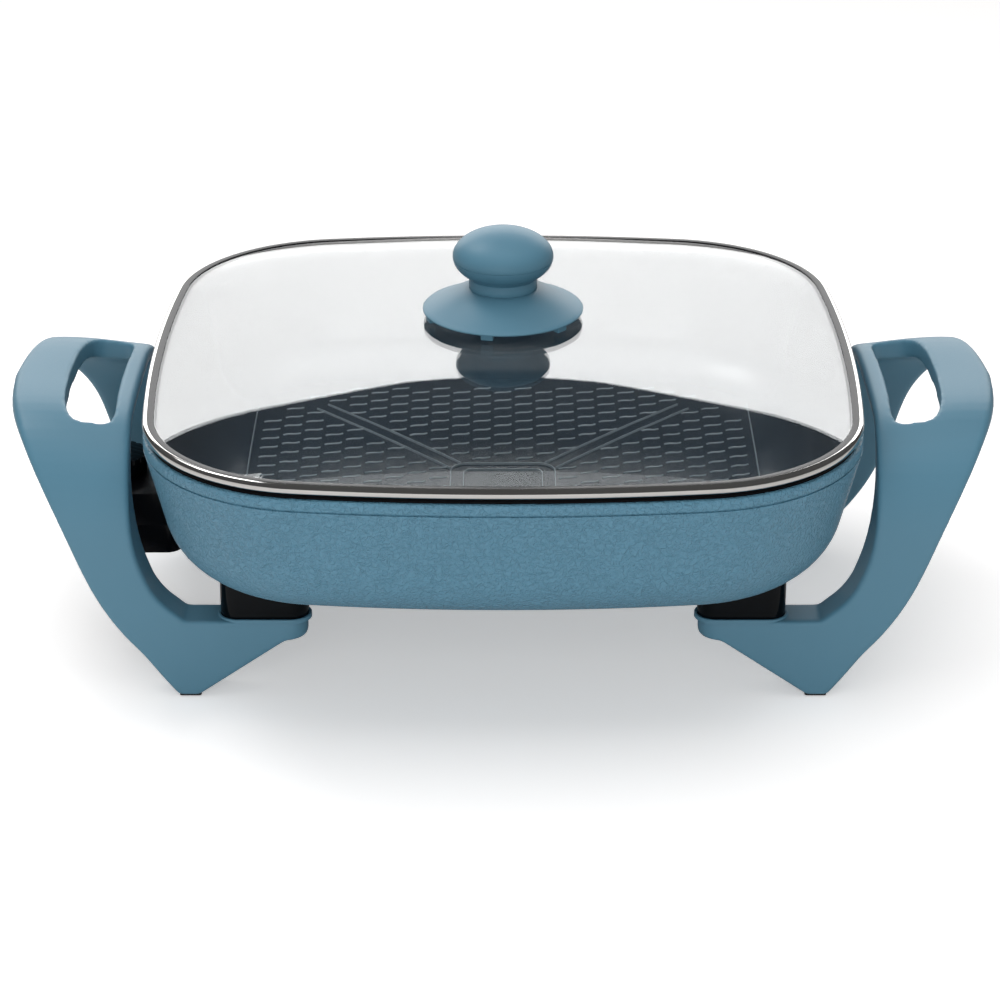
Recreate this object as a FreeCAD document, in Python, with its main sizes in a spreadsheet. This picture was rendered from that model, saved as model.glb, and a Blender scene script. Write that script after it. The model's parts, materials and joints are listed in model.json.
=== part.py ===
"""Electric skillet: square cast pan on two saddle handles, lift-off glass lid, plug-in heat control.

Millimetres. +Z is up, the front is -Y, and the origin is on the ground below the pan's centre.
"""

import FreeCAD, Part
import math
import os

from FreeCAD import Placement, Rotation, Vector

doc = FreeCAD.newDocument("ElectricSkillet")
sheet = doc.addObject("Spreadsheet::Sheet", "Sizes")

SIZES = {
    # Plan outline shared by the pan and the lid
    "half_size": 156.0,
    "bow_left_right": 930.0,
    "bow_front_back": 683.0,
    "corner_round": 77.7,
    # Pan
    "pan_bottom": 63.45,
    "pan_wall": 4.5,
    "pan_draft": 14.1,
    "pan_heel_round": 32.5,
    "pan_body_top": 120.2,
    "pan_rim_top": 125.6,
    "rim_groove_wide": 0.8,
    "rim_groove_deep": 0.7,
    "lip_top": 127.3,
    "lip_inset": 2.0,
    "floor_rib_tall": 0.8,
    "floor_rib_wide": 7.0,
    "floor_square_half": 32.0,
    "floor_square_round": 8.0,
    "floor_rib_reach": 138.0,
    # Heating element cast under the floor
    "element_level": 57.0,
    "element_round": 3.6,
    "casting_round": 7.0,
    "loop_half": 72.0,
    "loop_corner": 16.0,
    "loop_mouth_half": 13.0,
    "loop_mouth_corner": 9.0,
    "casting_end": -116.0,
    "element_end": -121.0,
    "pin_round": 2.4,
    "pin_end": -139.0,
    "insulator_round": 5.2,
    "insulator_thick": 5.0,
    # Probe seat
    "probe_round": 3.0,
    "probe_gap": 0.35,
    "probe_tip": -62.0,
    "probe_boss_round": 6.4,
    "probe_boss_end": -50.0,
    # Plug guard
    "guard_back": -116.0,
    "guard_front": -141.0,
    "guard_half": 32.0,
    "guard_low": 44.0,
    "guard_wall": 2.6,
    # Handles
    "handle_top": 120.0,
    "handle_reach": 218.0,
    "handle_inner": 159.5,
    "handle_half": 80.0,
    "handle_depth": 19.0,
    "handle_corner": 42.0,
    "handle_plate": 8.0,
    "handle_wall": 3.4,
    "handle_edge_round": 1.6,
    "grip_flat_half": 35.0,
    "leg_reach": 206.0,
    "grip_hole_near": 170.0,
    "grip_hole_far": 195.0,
    "grip_hole_half": 50.0,
    "grip_hole_round": 12.0,
    "tab_top": 36.2,
    "tab_thick": 9.4,
    "tab_end": 85.0,
    "foot_outer": 142.0,
    "foot_inner": 132.5,
    "pad_thick": 1.5,
    "pad_margin": 1.0,
    # Standoffs between handle tabs and pan
    "standoff_long": 38.6,
    "standoff_wide": 16.0,
    "standoff_centre": 104.0,
    "boss_round": 5.0,
    "boss_low": 48.0,
    "boss_gap": 0.2,
    "screw_round": 2.0,
    "screw_gap": 0.2,
    "screw_bite": 62.0,
    "screw_head_round": 4.0,
    "screw_head_thick": 2.6,
    "washer_round": 4.8,
    "washer_thick": 1.0,
    # Lid
    "seat_gap": 0.3,
    "band_tall": 4.5,
    "band_wide": 5.0,
    "band_sheet": 0.5,
    "band_edge_round": 0.9,
    "glass_thick": 3.5,
    "glass_edge_inset": 1.2,
    "glass_flange": 6.0,
    "glass_flange_rise": 0.4,
    "glass_shoulder": 11.5,
    "glass_shoulder_rise": 5.6,
    "glass_crown": 149.0,
    "glass_flat_share": 0.12,
    "glass_hole_round": 4.0,
    # Lid knob
    "knob_gasket_thick": 1.0,
    "knob_gasket_round": 14.0,
    "skirt_gap": 2.7,
    "skirt_round": 35.5,
    "skirt_lip": 1.2,
    "skirt_tall": 10.3,
    "skirt_wall": 2.4,
    "skirt_foot_wide": 5.4,
    "skirt_foot_deep": 3.0,
    "collar_round": 15.1,
    "collar_tall": 4.8,
    "ball_round": 22.2,
    "ball_half_tall": 12.4,
    "ball_centre_rise": 14.3,
    "knob_screw_round": 2.5,
    "knob_screw_bite": 16.0,
    "knob_screw_head": 5.0,
    "knob_screw_head_thick": 3.0,
    "knob_washer_round": 9.0,
    "knob_washer_thick": 1.2,
    # Heat control
    "control_back": -190.0,
    "control_front": -144.0,
    "control_half": 28.0,
    "control_low": 45.4,
    "control_split": 59.0,
    "control_top": 74.0,
    "control_wall": 2.2,
    "control_corner": 7.0,
    "control_edge_round": 1.8,
    "nose_half": 19.0,
    "nose_half_tall": 5.5,
    "nose_end": -122.0,
    "nose_root": -152.0,
    "sleeve_round": 3.8,
    "sleeve_gap": 0.4,
    "sleeve_root": -158.0,
    "probe_root": -160.0,
    "dial_centre": -174.0,
    "dial_round": 13.5,
    "dial_tall": 8.0,
    "dial_gap": 0.6,
    "dial_wall": 2.0,
    "dial_flute_round": 1.1,
    "shaft_round": 3.0,
    "shaft_gap": 0.3,
    "cam_round": 6.5,
    "cam_thick": 3.0,
    "stat_half_long": 9.0,
    "stat_half_wide": 11.0,
    "stat_tall": 7.0,
    "blade_thick": 0.8,
    "blade_wide": 5.0,
    "lens_round": 2.6,
    "lens_x": -152.0,
    "lens_y": 14.0,
    "lens_proud": 0.6,
    "lens_tall": 5.0,
    "lamp_round": 1.8,
    "lamp_long": 7.0,
    "post_round": 3.4,
    "post_edge": 6.5,
    "control_screw_round": 1.4,
    "control_screw_head": 2.6,
    "control_screw_head_thick": 1.8,
    "control_screw_long": 16.0,
    "inlet_round": 5.6,
    "inlet_flange": 7.2,
    "inlet_flange_thick": 1.6,
    "inlet_long": 6.0,
    "inlet_bore": 3.6,
}

for row, (alias, size) in enumerate(SIZES.items(), start=1):
    sheet.set(f"A{row}", alias)
    sheet.set(f"B{row}", str(size))
    sheet.setAlias(f"B{row}", alias)
doc.recompute()

SIDES = (-1, 1)
SKIRT_FEET = 6
SKIRT_FOOT_TURN = 46.2
DIAL_FLUTES = 20
HEEL_STEPS = 6
DOME_STEPS = 7
EPS = 0.5


def size(alias):
    """Value of one driving size."""
    return float(sheet.get(alias))


def bind(item, **formulas):
    """Bind properties to sheet formulas; a double underscore stands for a dot."""
    for prop, formula in formulas.items():
        item.setExpression(prop.replace("__", "."), formula)
    return item


def S(words):
    """Formula in which each word that is a size's alias is read from the sheet."""
    for mark in "+-*/()":
        words = words.replace(mark, f" {mark} ")
    return " ".join(f"Sizes.{word}" if word in SIZES else word for word in words.split())


def at(item, x="0", y="0", z="0"):
    """Bind an object's place to formulas."""
    return bind(item, Placement__Base__x=S(x), Placement__Base__y=S(y), Placement__Base__z=S(z))


def cylinder(label, radius, height, x="0", y="0", z="0", along="Z"):
    """Cylinder from (x, y, z) along +Z or +X, all sizes bound to the sheet."""
    item = doc.addObject("Part::Cylinder", label)
    if along == "X":
        item.Placement = Placement(Vector(), Rotation(Vector(0, 1, 0), 90))
    bind(item, Radius=S(radius), Height=S(height))
    return at(item, x, y, z)


def box(label, x, y, z):
    """Box between the low and high formulas of each axis."""
    item = doc.addObject("Part::Box", label)
    bind(item, Length=S(f"({x[1]})-({x[0]})"), Width=S(f"({y[1]})-({y[0]})"))
    bind(item, Height=S(f"({z[1]})-({z[0]})"))
    return at(item, x[0], y[0], z[0])


def fuse(label, *items):
    item = doc.addObject("Part::MultiFuse", label)
    item.Shapes = list(items)
    return item


def cut(label, base, *tools):
    """Base less the tools."""
    item = doc.addObject("Part::Cut", label)
    item.Base = base
    item.Tool = tools[0] if len(tools) == 1 else fuse(f"{label}_tools", *tools)
    return item


def group(label, *items):
    """Separate solids kept together as one sub-part."""
    item = doc.addObject("Part::Compound", label)
    item.Links = list(items)
    return item


def feature(label, shape):
    """Sub-part whose shape comes from curves that no primitive gives."""
    item = doc.addObject("Part::Feature", label)
    item.Shape = shape
    item.Placement = Placement()
    return item


def rounded(label, base, radius, wanted):
    """Fillet of the edges of base for which wanted(edge) holds."""
    doc.recompute()
    item = doc.addObject("Part::Fillet", label)
    item.Base = base
    reach = size(radius)
    item.Edges = [(n, reach, reach) for n, edge in enumerate(base.Shape.Edges, start=1) if wanted(edge)]
    return item


def upright(edge):
    """True for a straight edge that runs along Z."""
    first, last = edge.Vertexes[0].Point, edge.Vertexes[-1].Point
    return abs(first.x - last.x) + abs(first.y - last.y) < 0.001 and abs(first.z - last.z) > 0.001


# Plan outline of pan and lid: four bowed sides joined by four tangent corner arcs

def corner_centre():
    """Centre of the corner arc that is tangent to a side's arc and a front arc."""
    half, corner = size("half_size"), size("corner_round")
    side_r, front_r = size("bow_left_right"), size("bow_front_back")
    side, front = Vector(half - side_r, 0, 0), Vector(0, half - front_r, 0)
    reach_a, reach_b = side_r - corner, front_r - corner
    span = front - side
    along = (reach_a ** 2 - reach_b ** 2 + span.Length ** 2) / (2 * span.Length)
    aside = math.sqrt(reach_a ** 2 - along ** 2)
    unit = span / span.Length
    return side, front, side + unit * along + Vector(-unit.y, unit.x, 0) * aside


SIDE_CENTRE, FRONT_CENTRE, CORNER_CENTRE = corner_centre()


def outline(inset, level, share=1.0):
    """Closed wire at a level, moved inwards by inset and then scaled about the centre."""
    side_r = size("bow_left_right") - inset
    front_r = size("bow_front_back") - inset
    corner_r = size("corner_round") - inset
    to_side = (CORNER_CENTRE - SIDE_CENTRE).normalize()
    to_front = (CORNER_CENTRE - FRONT_CENTRE).normalize()
    middle = (to_side + to_front).normalize()
    on_side = SIDE_CENTRE + to_side * side_r
    on_front = FRONT_CENTRE + to_front * front_r
    on_corner = CORNER_CENTRE + middle * corner_r
    side_tip = SIDE_CENTRE + Vector(side_r, 0, 0)
    front_tip = FRONT_CENTRE + Vector(0, front_r, 0)

    def place(point, sx, sy):
        return Vector(point.x * share * sx, point.y * share * sy, level)

    def arc(a, b, c):
        return Part.Arc(a, b, c).toShape()

    edges = [
        arc(place(on_side, 1, -1), place(side_tip, 1, 1), place(on_side, 1, 1)),
        arc(place(on_side, 1, 1), place(on_corner, 1, 1), place(on_front, 1, 1)),
        arc(place(on_front, 1, 1), place(front_tip, 1, 1), place(on_front, -1, 1)),
        arc(place(on_front, -1, 1), place(on_corner, -1, 1), place(on_side, -1, 1)),
        arc(place(on_side, -1, 1), place(side_tip, -1, 1), place(on_side, -1, -1)),
        arc(place(on_side, -1, -1), place(on_corner, -1, -1), place(on_front, -1, -1)),
        arc(place(on_front, -1, -1), place(front_tip, 1, -1), place(on_front, 1, -1)),
        arc(place(on_front, 1, -1), place(on_corner, 1, -1), place(on_side, 1, -1)),
    ]
    return Part.Wire(edges)


def stack(sections):
    """Solid through outlines given as (inset, level) or (inset, level, share)."""
    return Part.makeLoft([outline(*section) for section in sections], True, True)


def hoop(sections, caps=()):
    """Solid skinned from each outline to the next, closed to a ring or by two flat caps."""
    wires = [outline(*section) for section in sections]
    pairs = list(zip(wires, wires[1:]))
    faces = [Part.Face(outline(*cap)) for cap in caps] if caps else []
    if not caps:
        pairs.append((wires[-1], wires[0]))
    for first, second in pairs:
        faces += [Part.makeRuledSurface(a, b) for a, b in zip(first.Edges, second.Edges)]
    shell = Part.makeShell(faces)
    shell.sewShape()
    solid = Part.makeSolid(shell)
    if solid.Volume < 0:
        solid.reverse()
    return solid


# Pan

def heel(wall):
    """Sections from the flat bottom's edge round the heel to the drafted wall, wall inside the skin."""
    draft = math.radians(size("pan_draft"))
    full = size("pan_heel_round")
    centre_level = size("pan_bottom") + full
    tangent_level = centre_level - full * math.sin(draft)
    tangent_inset = (size("pan_body_top") - tangent_level) * math.tan(draft)
    flat_inset = tangent_inset + full * math.cos(draft)
    turns = [math.pi / 2 + (draft - math.pi / 2) * n / HEEL_STEPS for n in range(HEEL_STEPS + 1)]
    radius = full - wall
    return [(flat_inset - radius * math.cos(t), centre_level - radius * math.sin(t)) for t in turns]


def pan_skin():
    """The pan's outer form with no hollow, up to its body's top edge."""
    return stack(heel(0) + [(0, size("pan_body_top"))])


def element_path(start):
    """Open loop of the element from one mouth round to the other, in the element's level."""
    level, half, corner = size("element_level"), size("loop_half"), size("loop_corner")
    mouth, turn = size("loop_mouth_half"), size("loop_mouth_corner")
    points = [(start, mouth, 0), (-half, mouth, turn), (-half, half, corner), (half, half, corner)]
    points += [(x, -y, r) for x, y, r in reversed(points)]
    edges, last = [], None
    for n, (x, y, r) in enumerate(points):
        here = Vector(x, y, level)
        if r == 0:
            begin = end = here
        else:
            before = Vector(points[n - 1][0], points[n - 1][1], level)
            after = Vector(points[n + 1][0], points[n + 1][1], level)
            back, on = (before - here).normalize(), (after - here).normalize()
            begin, end = here + back * r, here + on * r
            middle = here + (back + on) * r * (1 - math.sqrt(0.5))
        if last is not None:
            edges.append(Part.LineSegment(last, begin).toShape())
        if r:
            edges.append(Part.Arc(begin, middle, end).toShape())
        last = end
    return Part.Wire(edges)


def tube(path, radius):
    """Round bar along a wire that starts and ends along X."""
    start = path.Vertexes[0].Point
    ring = Part.Wire(Part.makeCircle(radius, start, Vector(1, 0, 0)))
    return path.makePipeShell([ring], True, False)


def floor_ridge():
    """Square in the middle of the floor and four ribs out to its corners."""
    level, tall = size("pan_bottom") + size("pan_wall"), size("floor_rib_tall")
    half, wide = size("floor_square_half"), size("floor_rib_wide")
    reach = size("floor_rib_reach") - half * math.sqrt(2)
    plates = []
    for outer, sign in ((half, 1), (half - wide, -1)):
        plate = Part.makeBox(2 * outer, 2 * outer, tall, Vector(-outer, -outer, level))
        corners = [edge for edge in plate.Edges if upright(edge)]
        plates.append(plate.makeFillet(max(size("floor_square_round") - half + outer, 1), corners))
    ridge = plates[0].cut(plates[1])
    for turn in (45, 135, 225, 315):
        start = half * math.sqrt(2) - wide
        rib = Part.makeBox(reach + wide, wide, tall, Vector(start, -wide / 2, level))
        rib.rotate(Vector(), Vector(0, 0, 1), turn)
        ridge = ridge.fuse(rib)
    return ridge


def pan_shape():
    body_top, rim_top = size("pan_body_top"), size("pan_rim_top")
    deep, wide = size("rim_groove_deep"), size("rim_groove_wide")
    rim = [(0, body_top), (deep, body_top), (deep, body_top + wide), (0, body_top + wide), (0, rim_top)]
    solid = stack(heel(0) + rim[:1])
    solid = solid.fuse(stack(rim[1:3])).fuse(stack(rim[3:]))
    solid = solid.fuse(stack([(size("lip_inset"), rim_top - EPS), (size("lip_inset"), size("lip_top"))]))
    solid = solid.fuse(tube(element_path(size("casting_end")), size("casting_round")))
    boss_long = size("probe_boss_end") - size("casting_end")
    seat = Vector(size("casting_end"), 0, size("element_level"))
    solid = solid.fuse(Part.makeCylinder(size("probe_boss_round"), boss_long, seat, Vector(1, 0, 0)))
    centre = size("standoff_centre")
    for sx in SIDES:
        for sy in SIDES:
            foot = Vector(sx * centre, sy * leg_middle(), size("boss_low"))
            tall = size("pan_bottom") + size("pan_wall") - size("boss_low")
            solid = solid.fuse(Part.makeCylinder(size("boss_round"), tall, foot))
    wall = size("pan_wall")
    inner_top = wall / math.cos(math.radians(size("pan_draft")))
    solid = solid.cut(stack(heel(wall) + [(inner_top, body_top), (inner_top, size("lip_top") + EPS)]))
    solid = solid.fuse(floor_ridge()).removeSplitter()
    solid = solid.cut(tube(element_path(size("casting_end") - EPS), size("element_round")))
    hole = size("probe_round") + size("probe_gap")
    mouth = Vector(size("casting_end") - EPS, 0, size("element_level"))
    long = size("probe_tip") + EPS * 2 - mouth.x
    solid = solid.cut(Part.makeCylinder(hole, long, mouth, Vector(1, 0, 0)))
    for sx in SIDES:
        for sy in SIDES:
            foot = Vector(sx * centre, sy * leg_middle(), size("boss_low") - EPS)
            bite = size("screw_bite") - foot.z
            solid = solid.cut(Part.makeCylinder(size("screw_round"), bite, foot))
    return solid


def leg_middle():
    """Distance of a leg's middle from the object's middle plane."""
    return size("handle_half") - size("handle_depth") / 2


skin = feature("pan_skin", pan_skin())
pan = feature("skillet_pan", pan_shape())
element = feature("heating_element", tube(element_path(size("element_end")), size("element_round")))

pins = [cylinder(f"pin{n}", "pin_round", "element_end-pin_end", "pin_end", f"{side}*loop_mouth_half",
                 "element_level", "X") for n, side in enumerate(SIDES)]
terminal_pins = group("terminal_pins", *pins)

insulators = []
for n, side in enumerate(SIDES):
    sleeve = cylinder(f"insulator{n}", "insulator_round", "insulator_thick", "element_end",
                      f"{side}*loop_mouth_half", "element_level", "X")
    bore = cylinder(f"insulator_bore{n}", "element_round", "insulator_thick+2", "element_end-1",
                    f"{side}*loop_mouth_half", "element_level", "X")
    insulators.append(cut(f"insulator_ring{n}", sleeve, bore))
pin_insulators = group("pin_insulators", *insulators)

guard_block = box("guard_block", ("guard_front", "guard_back"), ("-guard_half", "guard_half"),
                  ("guard_low", "control_top"))
guard_room = box("guard_room", ("guard_front-1", "guard_back-guard_wall"),
                 ("guard_wall-guard_half", "guard_half-guard_wall"),
                 ("guard_low+guard_wall", "control_top+1"))
guard_probe = cylinder("guard_probe", "probe_round+probe_gap", "20", "guard_back-10", "0",
                       "element_level", "X")
guard_pins = [cylinder(f"guard_pin{n}", "insulator_round", "20", "guard_back-10",
                       f"{side}*loop_mouth_half", "element_level", "X") for n, side in enumerate(SIDES)]
guard_trim = cut("guard_trim", cut("guard_hollow", guard_block, guard_room), skin)
plug_guard = cut("plug_guard", guard_trim, guard_probe, *guard_pins)


# Handles: the leg seen from the front, the saddle seen from the side and the grip seen from above

def smooth(points):
    """Spline edge through points."""
    curve = Part.BSplineCurve()
    curve.interpolate(points)
    return curve.toShape()


def leg_face(inset, depth):
    """Face of the left leg and tab in the front view, moved inwards by inset, at Y = depth."""
    top, tab_top = size("handle_top"), size("tab_top")
    tab_low, sole = tab_top - size("tab_thick"), size("pad_thick")
    reach, inner, corner = size("handle_reach"), size("handle_inner"), size("handle_depth") / 2
    end, heel_x, toe_x = size("tab_end"), size("foot_outer"), size("foot_inner")

    def spot(x, z):
        return Vector(-x, depth, z)

    def bend(start, through, stop):
        return Part.Arc(spot(*start), spot(*through), spot(*stop)).toShape()

    grip, waist, shin = (reach, top), (reach - 20, top - 24), (reach - 36, top - 59)
    ankle, sleeve_end, tab_root = (reach - 53, top - 85), (inner, tab_top + 40), (inner - 28, tab_top)
    low = spot(end + corner, tab_low)
    edges = [
        bend(grip, (reach - 8.5, top - 11), waist),
        bend(waist, (reach - 29.2, top - 42), shin),
        bend(shin, (reach - 44.2, top - 73.5), ankle),
        Part.LineSegment(spot(*ankle), spot(heel_x, sole)).toShape(),
        Part.LineSegment(spot(heel_x, sole), spot(toe_x, sole)).toShape(),
        Part.LineSegment(spot(toe_x, sole), low).toShape(),
        Part.LineSegment(low, spot(end, tab_low)).toShape(),
        Part.LineSegment(spot(end, tab_low), spot(end, tab_top)).toShape(),
        Part.LineSegment(spot(end, tab_top), spot(*tab_root)).toShape(),
        bend(tab_root, (inner - 11.5, tab_top + 15), sleeve_end),
        Part.LineSegment(spot(*sleeve_end), spot(inner, top)).toShape(),
        Part.LineSegment(spot(inner, top), spot(*grip)).toShape(),
    ]
    wire = Part.Wire(Part.__sortEdges__(edges))
    return Part.Face(wire.makeOffset2D(-inset) if inset else wire)


def saddle(half, top, corner, low):
    """Block with rounded upper corners, seen from the side, as long as the handle reaches."""
    reach = size("handle_reach")
    points = [Vector(-reach - 1, y, z) for y, z in
              ((-half, low), (-half, top - corner), (-half + corner, top), (half - corner, top),
               (half, top - corner), (half, low))]
    bend = corner * (1 - math.sqrt(0.5))
    mids = [Vector(-reach - 1, y, top - bend) for y in (bend - half, half - bend)]
    edges = [
        Part.LineSegment(points[0], points[1]).toShape(),
        Part.Arc(points[1], mids[0], points[2]).toShape(),
        Part.LineSegment(points[2], points[3]).toShape(),
        Part.Arc(points[3], mids[1], points[4]).toShape(),
        Part.LineSegment(points[4], points[5]).toShape(),
        Part.LineSegment(points[5], points[0]).toShape(),
    ]
    return Part.Face(Part.Wire(edges)).extrude(Vector(reach, 0, 0))


def grip_plan():
    """Block of the handle's plan outline: a bowed outer edge and two round tab ends."""
    reach, leg, flat = size("handle_reach"), size("leg_reach"), size("grip_flat_half")
    half, end, depth = size("handle_half"), size("tab_end"), size("handle_depth")
    root = -end - depth / 2
    far = [Vector(-leg, -half, 0), Vector(-reach + 6, -flat - 11, 0), Vector(-reach, -flat + 5, 0),
           Vector(-reach, flat - 5, 0), Vector(-reach + 6, flat + 11, 0), Vector(-leg, half, 0)]
    edges = [
        smooth(far[:3]),
        Part.LineSegment(far[2], far[3]).toShape(),
        smooth(far[3:]),
        Part.LineSegment(far[5], Vector(root, half, 0)).toShape(),
        Part.Arc(Vector(root, half, 0), Vector(-end, half - depth / 2, 0),
                 Vector(root, half - depth, 0)).toShape(),
        Part.LineSegment(Vector(root, half - depth, 0), Vector(root, depth - half, 0)).toShape(),
        Part.Arc(Vector(root, depth - half, 0), Vector(-end, depth / 2 - half, 0),
                 Vector(root, -half, 0)).toShape(),
        Part.LineSegment(Vector(root, -half, 0), far[0]).toShape(),
    ]
    return Part.Face(Part.Wire(edges)).extrude(Vector(0, 0, size("handle_top") + 1))


def grip_hole():
    """Rounded finger hole through the top plate."""
    near, far, half = size("grip_hole_near"), size("grip_hole_far"), size("grip_hole_half")
    low = size("handle_top") - size("handle_plate") - 1
    block = Part.makeBox(far - near, 2 * half, size("handle_plate") + 2, Vector(-far, -half, low))
    return block.makeFillet(size("grip_hole_round"), [edge for edge in block.Edges if upright(edge)])


def handle_shape():
    half, depth, top = size("handle_half"), size("handle_depth"), size("handle_top")
    plate, wall, corner = size("handle_plate"), size("handle_wall"), size("handle_corner")
    solid = leg_face(0, -half).extrude(Vector(0, 2 * half, 0))
    solid = solid.common(saddle(half, top, corner, -1)).common(grip_plan())
    solid = solid.cut(saddle(half - depth, top - plate, corner - depth, -1)).cut(grip_hole())
    far, near = size("grip_hole_far"), size("grip_hole_near")
    mouth = [edge for edge in solid.Edges if edge.BoundBox.ZMin > top - 0.01
             and edge.BoundBox.XMin > -far - 0.01 and edge.BoundBox.XMax < 0.01 - near]
    solid = solid.makeFillet(size("handle_edge_round"), mouth)
    floor_level = size("pad_thick")
    for near in (wall - half, half - depth):
        core = leg_face(wall, near).extrude(Vector(0, depth - wall, 0))
        limit = Part.makeBox(size("handle_reach"), depth, top - corner - plate - floor_level,
                             Vector(-size("handle_reach"), near, floor_level))
        solid = solid.cut(core.common(limit))
    return solid


handle_holes = [cylinder(f"handle_hole{n}", "screw_round+screw_gap", "tab_thick*2", "-standoff_centre",
                         f"{side}*(handle_half-handle_depth/2)", "tab_top-tab_thick*1.5")
                for n, side in enumerate(SIDES)]
handle_holes += [cylinder(f"screw_well{n}", "washer_round+boss_gap", "tab_thick", "-standoff_centre",
                          f"{side}*(handle_half-handle_depth/2)", "tab_top-handle_wall-tab_thick")
                 for n, side in enumerate(SIDES)]
handle_blank = feature("handle_blank", handle_shape())
handle_left = cut("handle_left", handle_blank, *handle_holes)
handle_right = doc.addObject("Part::Mirroring", "handle_right")
handle_right.Source = handle_left
handle_right.Normal = Vector(1, 0, 0)

# Feet, standoffs and the screws that clamp each handle to the pan
pads, standoffs, screws, washers = [], [], [], []
for name_x, sx in (("left", -1), ("right", 1)):
    for name_y, sy in (("front", -1), ("rear", 1)):
        spot_name = f"{name_y}_{name_x}"
        leg = f"{sy}*(handle_half-handle_depth/2)"
        post_x = f"{sx}*standoff_centre"
        foot_x = f"{sx}*(foot_outer+foot_inner)/2"
        pad = box(f"pad_{spot_name}",
                  (f"{foot_x}-(foot_outer-foot_inner)/2", f"{foot_x}+(foot_outer-foot_inner)/2"),
                  (f"{leg}-handle_depth/2+pad_margin", f"{leg}+handle_depth/2-pad_margin"),
                  ("0", "pad_thick"))
        pads.append(rounded(f"foot_pad_{spot_name}", pad, "pad_margin", upright))

        core = box(f"post_core_{spot_name}",
                   (f"{post_x}-(standoff_long-standoff_wide)/2", f"{post_x}+(standoff_long-standoff_wide)/2"),
                   (f"{leg}-standoff_wide/2", f"{leg}+standoff_wide/2"),
                   ("tab_top", "pan_bottom+pan_heel_round/2"))
        ends = [cylinder(f"post_end{n}_{spot_name}", "standoff_wide/2",
                         "pan_bottom+pan_heel_round/2-tab_top",
                         f"{post_x}+{end}*(standoff_long-standoff_wide)/2", leg, "tab_top")
                for n, end in enumerate(SIDES)]
        well = cylinder(f"post_well_{spot_name}", "boss_round+boss_gap", "pan_heel_round",
                        post_x, leg, "boss_low-boss_gap")
        hole = cylinder(f"post_hole_{spot_name}", "screw_round+screw_gap", "boss_low",
                        post_x, leg, "tab_top-1")
        trimmed = cut(f"trimmed_{spot_name}", fuse(f"post_{spot_name}", core, *ends), skin)
        standoffs.append(cut(f"standoff_{spot_name}", trimmed, well, hole))

        seat = "tab_top-handle_wall"
        shank = cylinder(f"shank_{spot_name}", "screw_round", f"screw_bite-({seat}-washer_thick)",
                         post_x, leg, f"{seat}-washer_thick")
        head = cylinder(f"head_{spot_name}", "screw_head_round", "screw_head_thick", post_x, leg,
                        f"{seat}-washer_thick-screw_head_thick")
        screws.append(fuse(f"screw_{spot_name}", shank, head))
        disc = cylinder(f"disc_{spot_name}", "washer_round", "washer_thick", post_x, leg,
                        f"{seat}-washer_thick")
        eye = cylinder(f"eye_{spot_name}", "screw_round+screw_gap", "washer_thick*3", post_x, leg,
                       f"{seat}-washer_thick*2")
        washers.append(cut(f"washer_{spot_name}", disc, eye))
handle_screws = group("handle_screws", *screws)
handle_washers = group("handle_washers", *washers)


# Lid

def glass_levels():
    """Sections of the glass's upper face from the edge to the flat crown, as (inset, level, share)."""
    flange_top = size("lip_top") + size("seat_gap") + size("band_tall") - size("band_sheet")
    half, flat = size("half_size"), size("glass_flat_share")
    shoulder, rise = size("glass_shoulder"), size("glass_shoulder_rise")
    start = 1 - shoulder / half
    sections = [(size("glass_edge_inset"), flange_top, 1)]
    sections.append((size("glass_flange"), flange_top + size("glass_flange_rise"), 1))
    sections.append((0, flange_top + rise * 0.62, start + (shoulder - size("glass_flange")) * 0.55 / half))
    low = flange_top + rise
    for n in range(DOME_STEPS + 1):
        share = start + (flat - start) * n / DOME_STEPS
        fall = (share ** 2 - flat ** 2) / (start ** 2 - flat ** 2)
        sections.append((0, size("glass_crown") - (size("glass_crown") - low) * fall, share))
    return sections


def glass_shape():
    thick = size("glass_thick")
    upper = glass_levels()
    lean = thick * 0.4 / size("half_size")
    lower = [(inset, level - thick, share - lean) for inset, level, share in upper[1:]]
    edge = (upper[0][0], upper[0][1] - thick, 1)
    sections = upper[::-1] + [edge] + lower
    glass_skin = hoop(sections, caps=(upper[-1], lower[-1]))
    hole = Part.makeCylinder(size("glass_hole_round"), 40, Vector(0, 0, size("glass_crown") - 30))
    return glass_skin.cut(hole)


def band_shape():
    """Rolled rim band that wraps the edge of the glass."""
    low = size("lip_top") + size("seat_gap")
    high, wide, soft = low + size("band_tall"), size("band_wide"), size("band_edge_round")
    edge, glass_top = size("glass_edge_inset"), high - size("band_sheet")
    slope = size("glass_flange_rise") / (size("glass_flange") - edge)
    glass_low = glass_top - size("glass_thick")
    return hoop([(soft, low), (0, low + soft), (0, high - soft), (soft, high), (wide, high),
                 (wide, glass_top + slope * (wide - edge)), (edge, glass_top), (edge, glass_low),
                 (wide, glass_low), (wide, low)])


glass = feature("lid_glass", glass_shape())
rim_band = feature("lid_rim_band", band_shape())

KNOB_BASE = "glass_crown+knob_gasket_thick"
SKIRT_LOW = "glass_crown+skirt_gap"
SKIRT_TOP = f"{SKIRT_LOW}+skirt_tall"
gasket_disc = cylinder("gasket_disc", "knob_gasket_round", "knob_gasket_thick", z="glass_crown")
gasket_eye = cylinder("gasket_eye", "knob_screw_round+screw_gap", "4", z="glass_crown-1")
knob_gasket = cut("knob_gasket", gasket_disc, gasket_eye)

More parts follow.
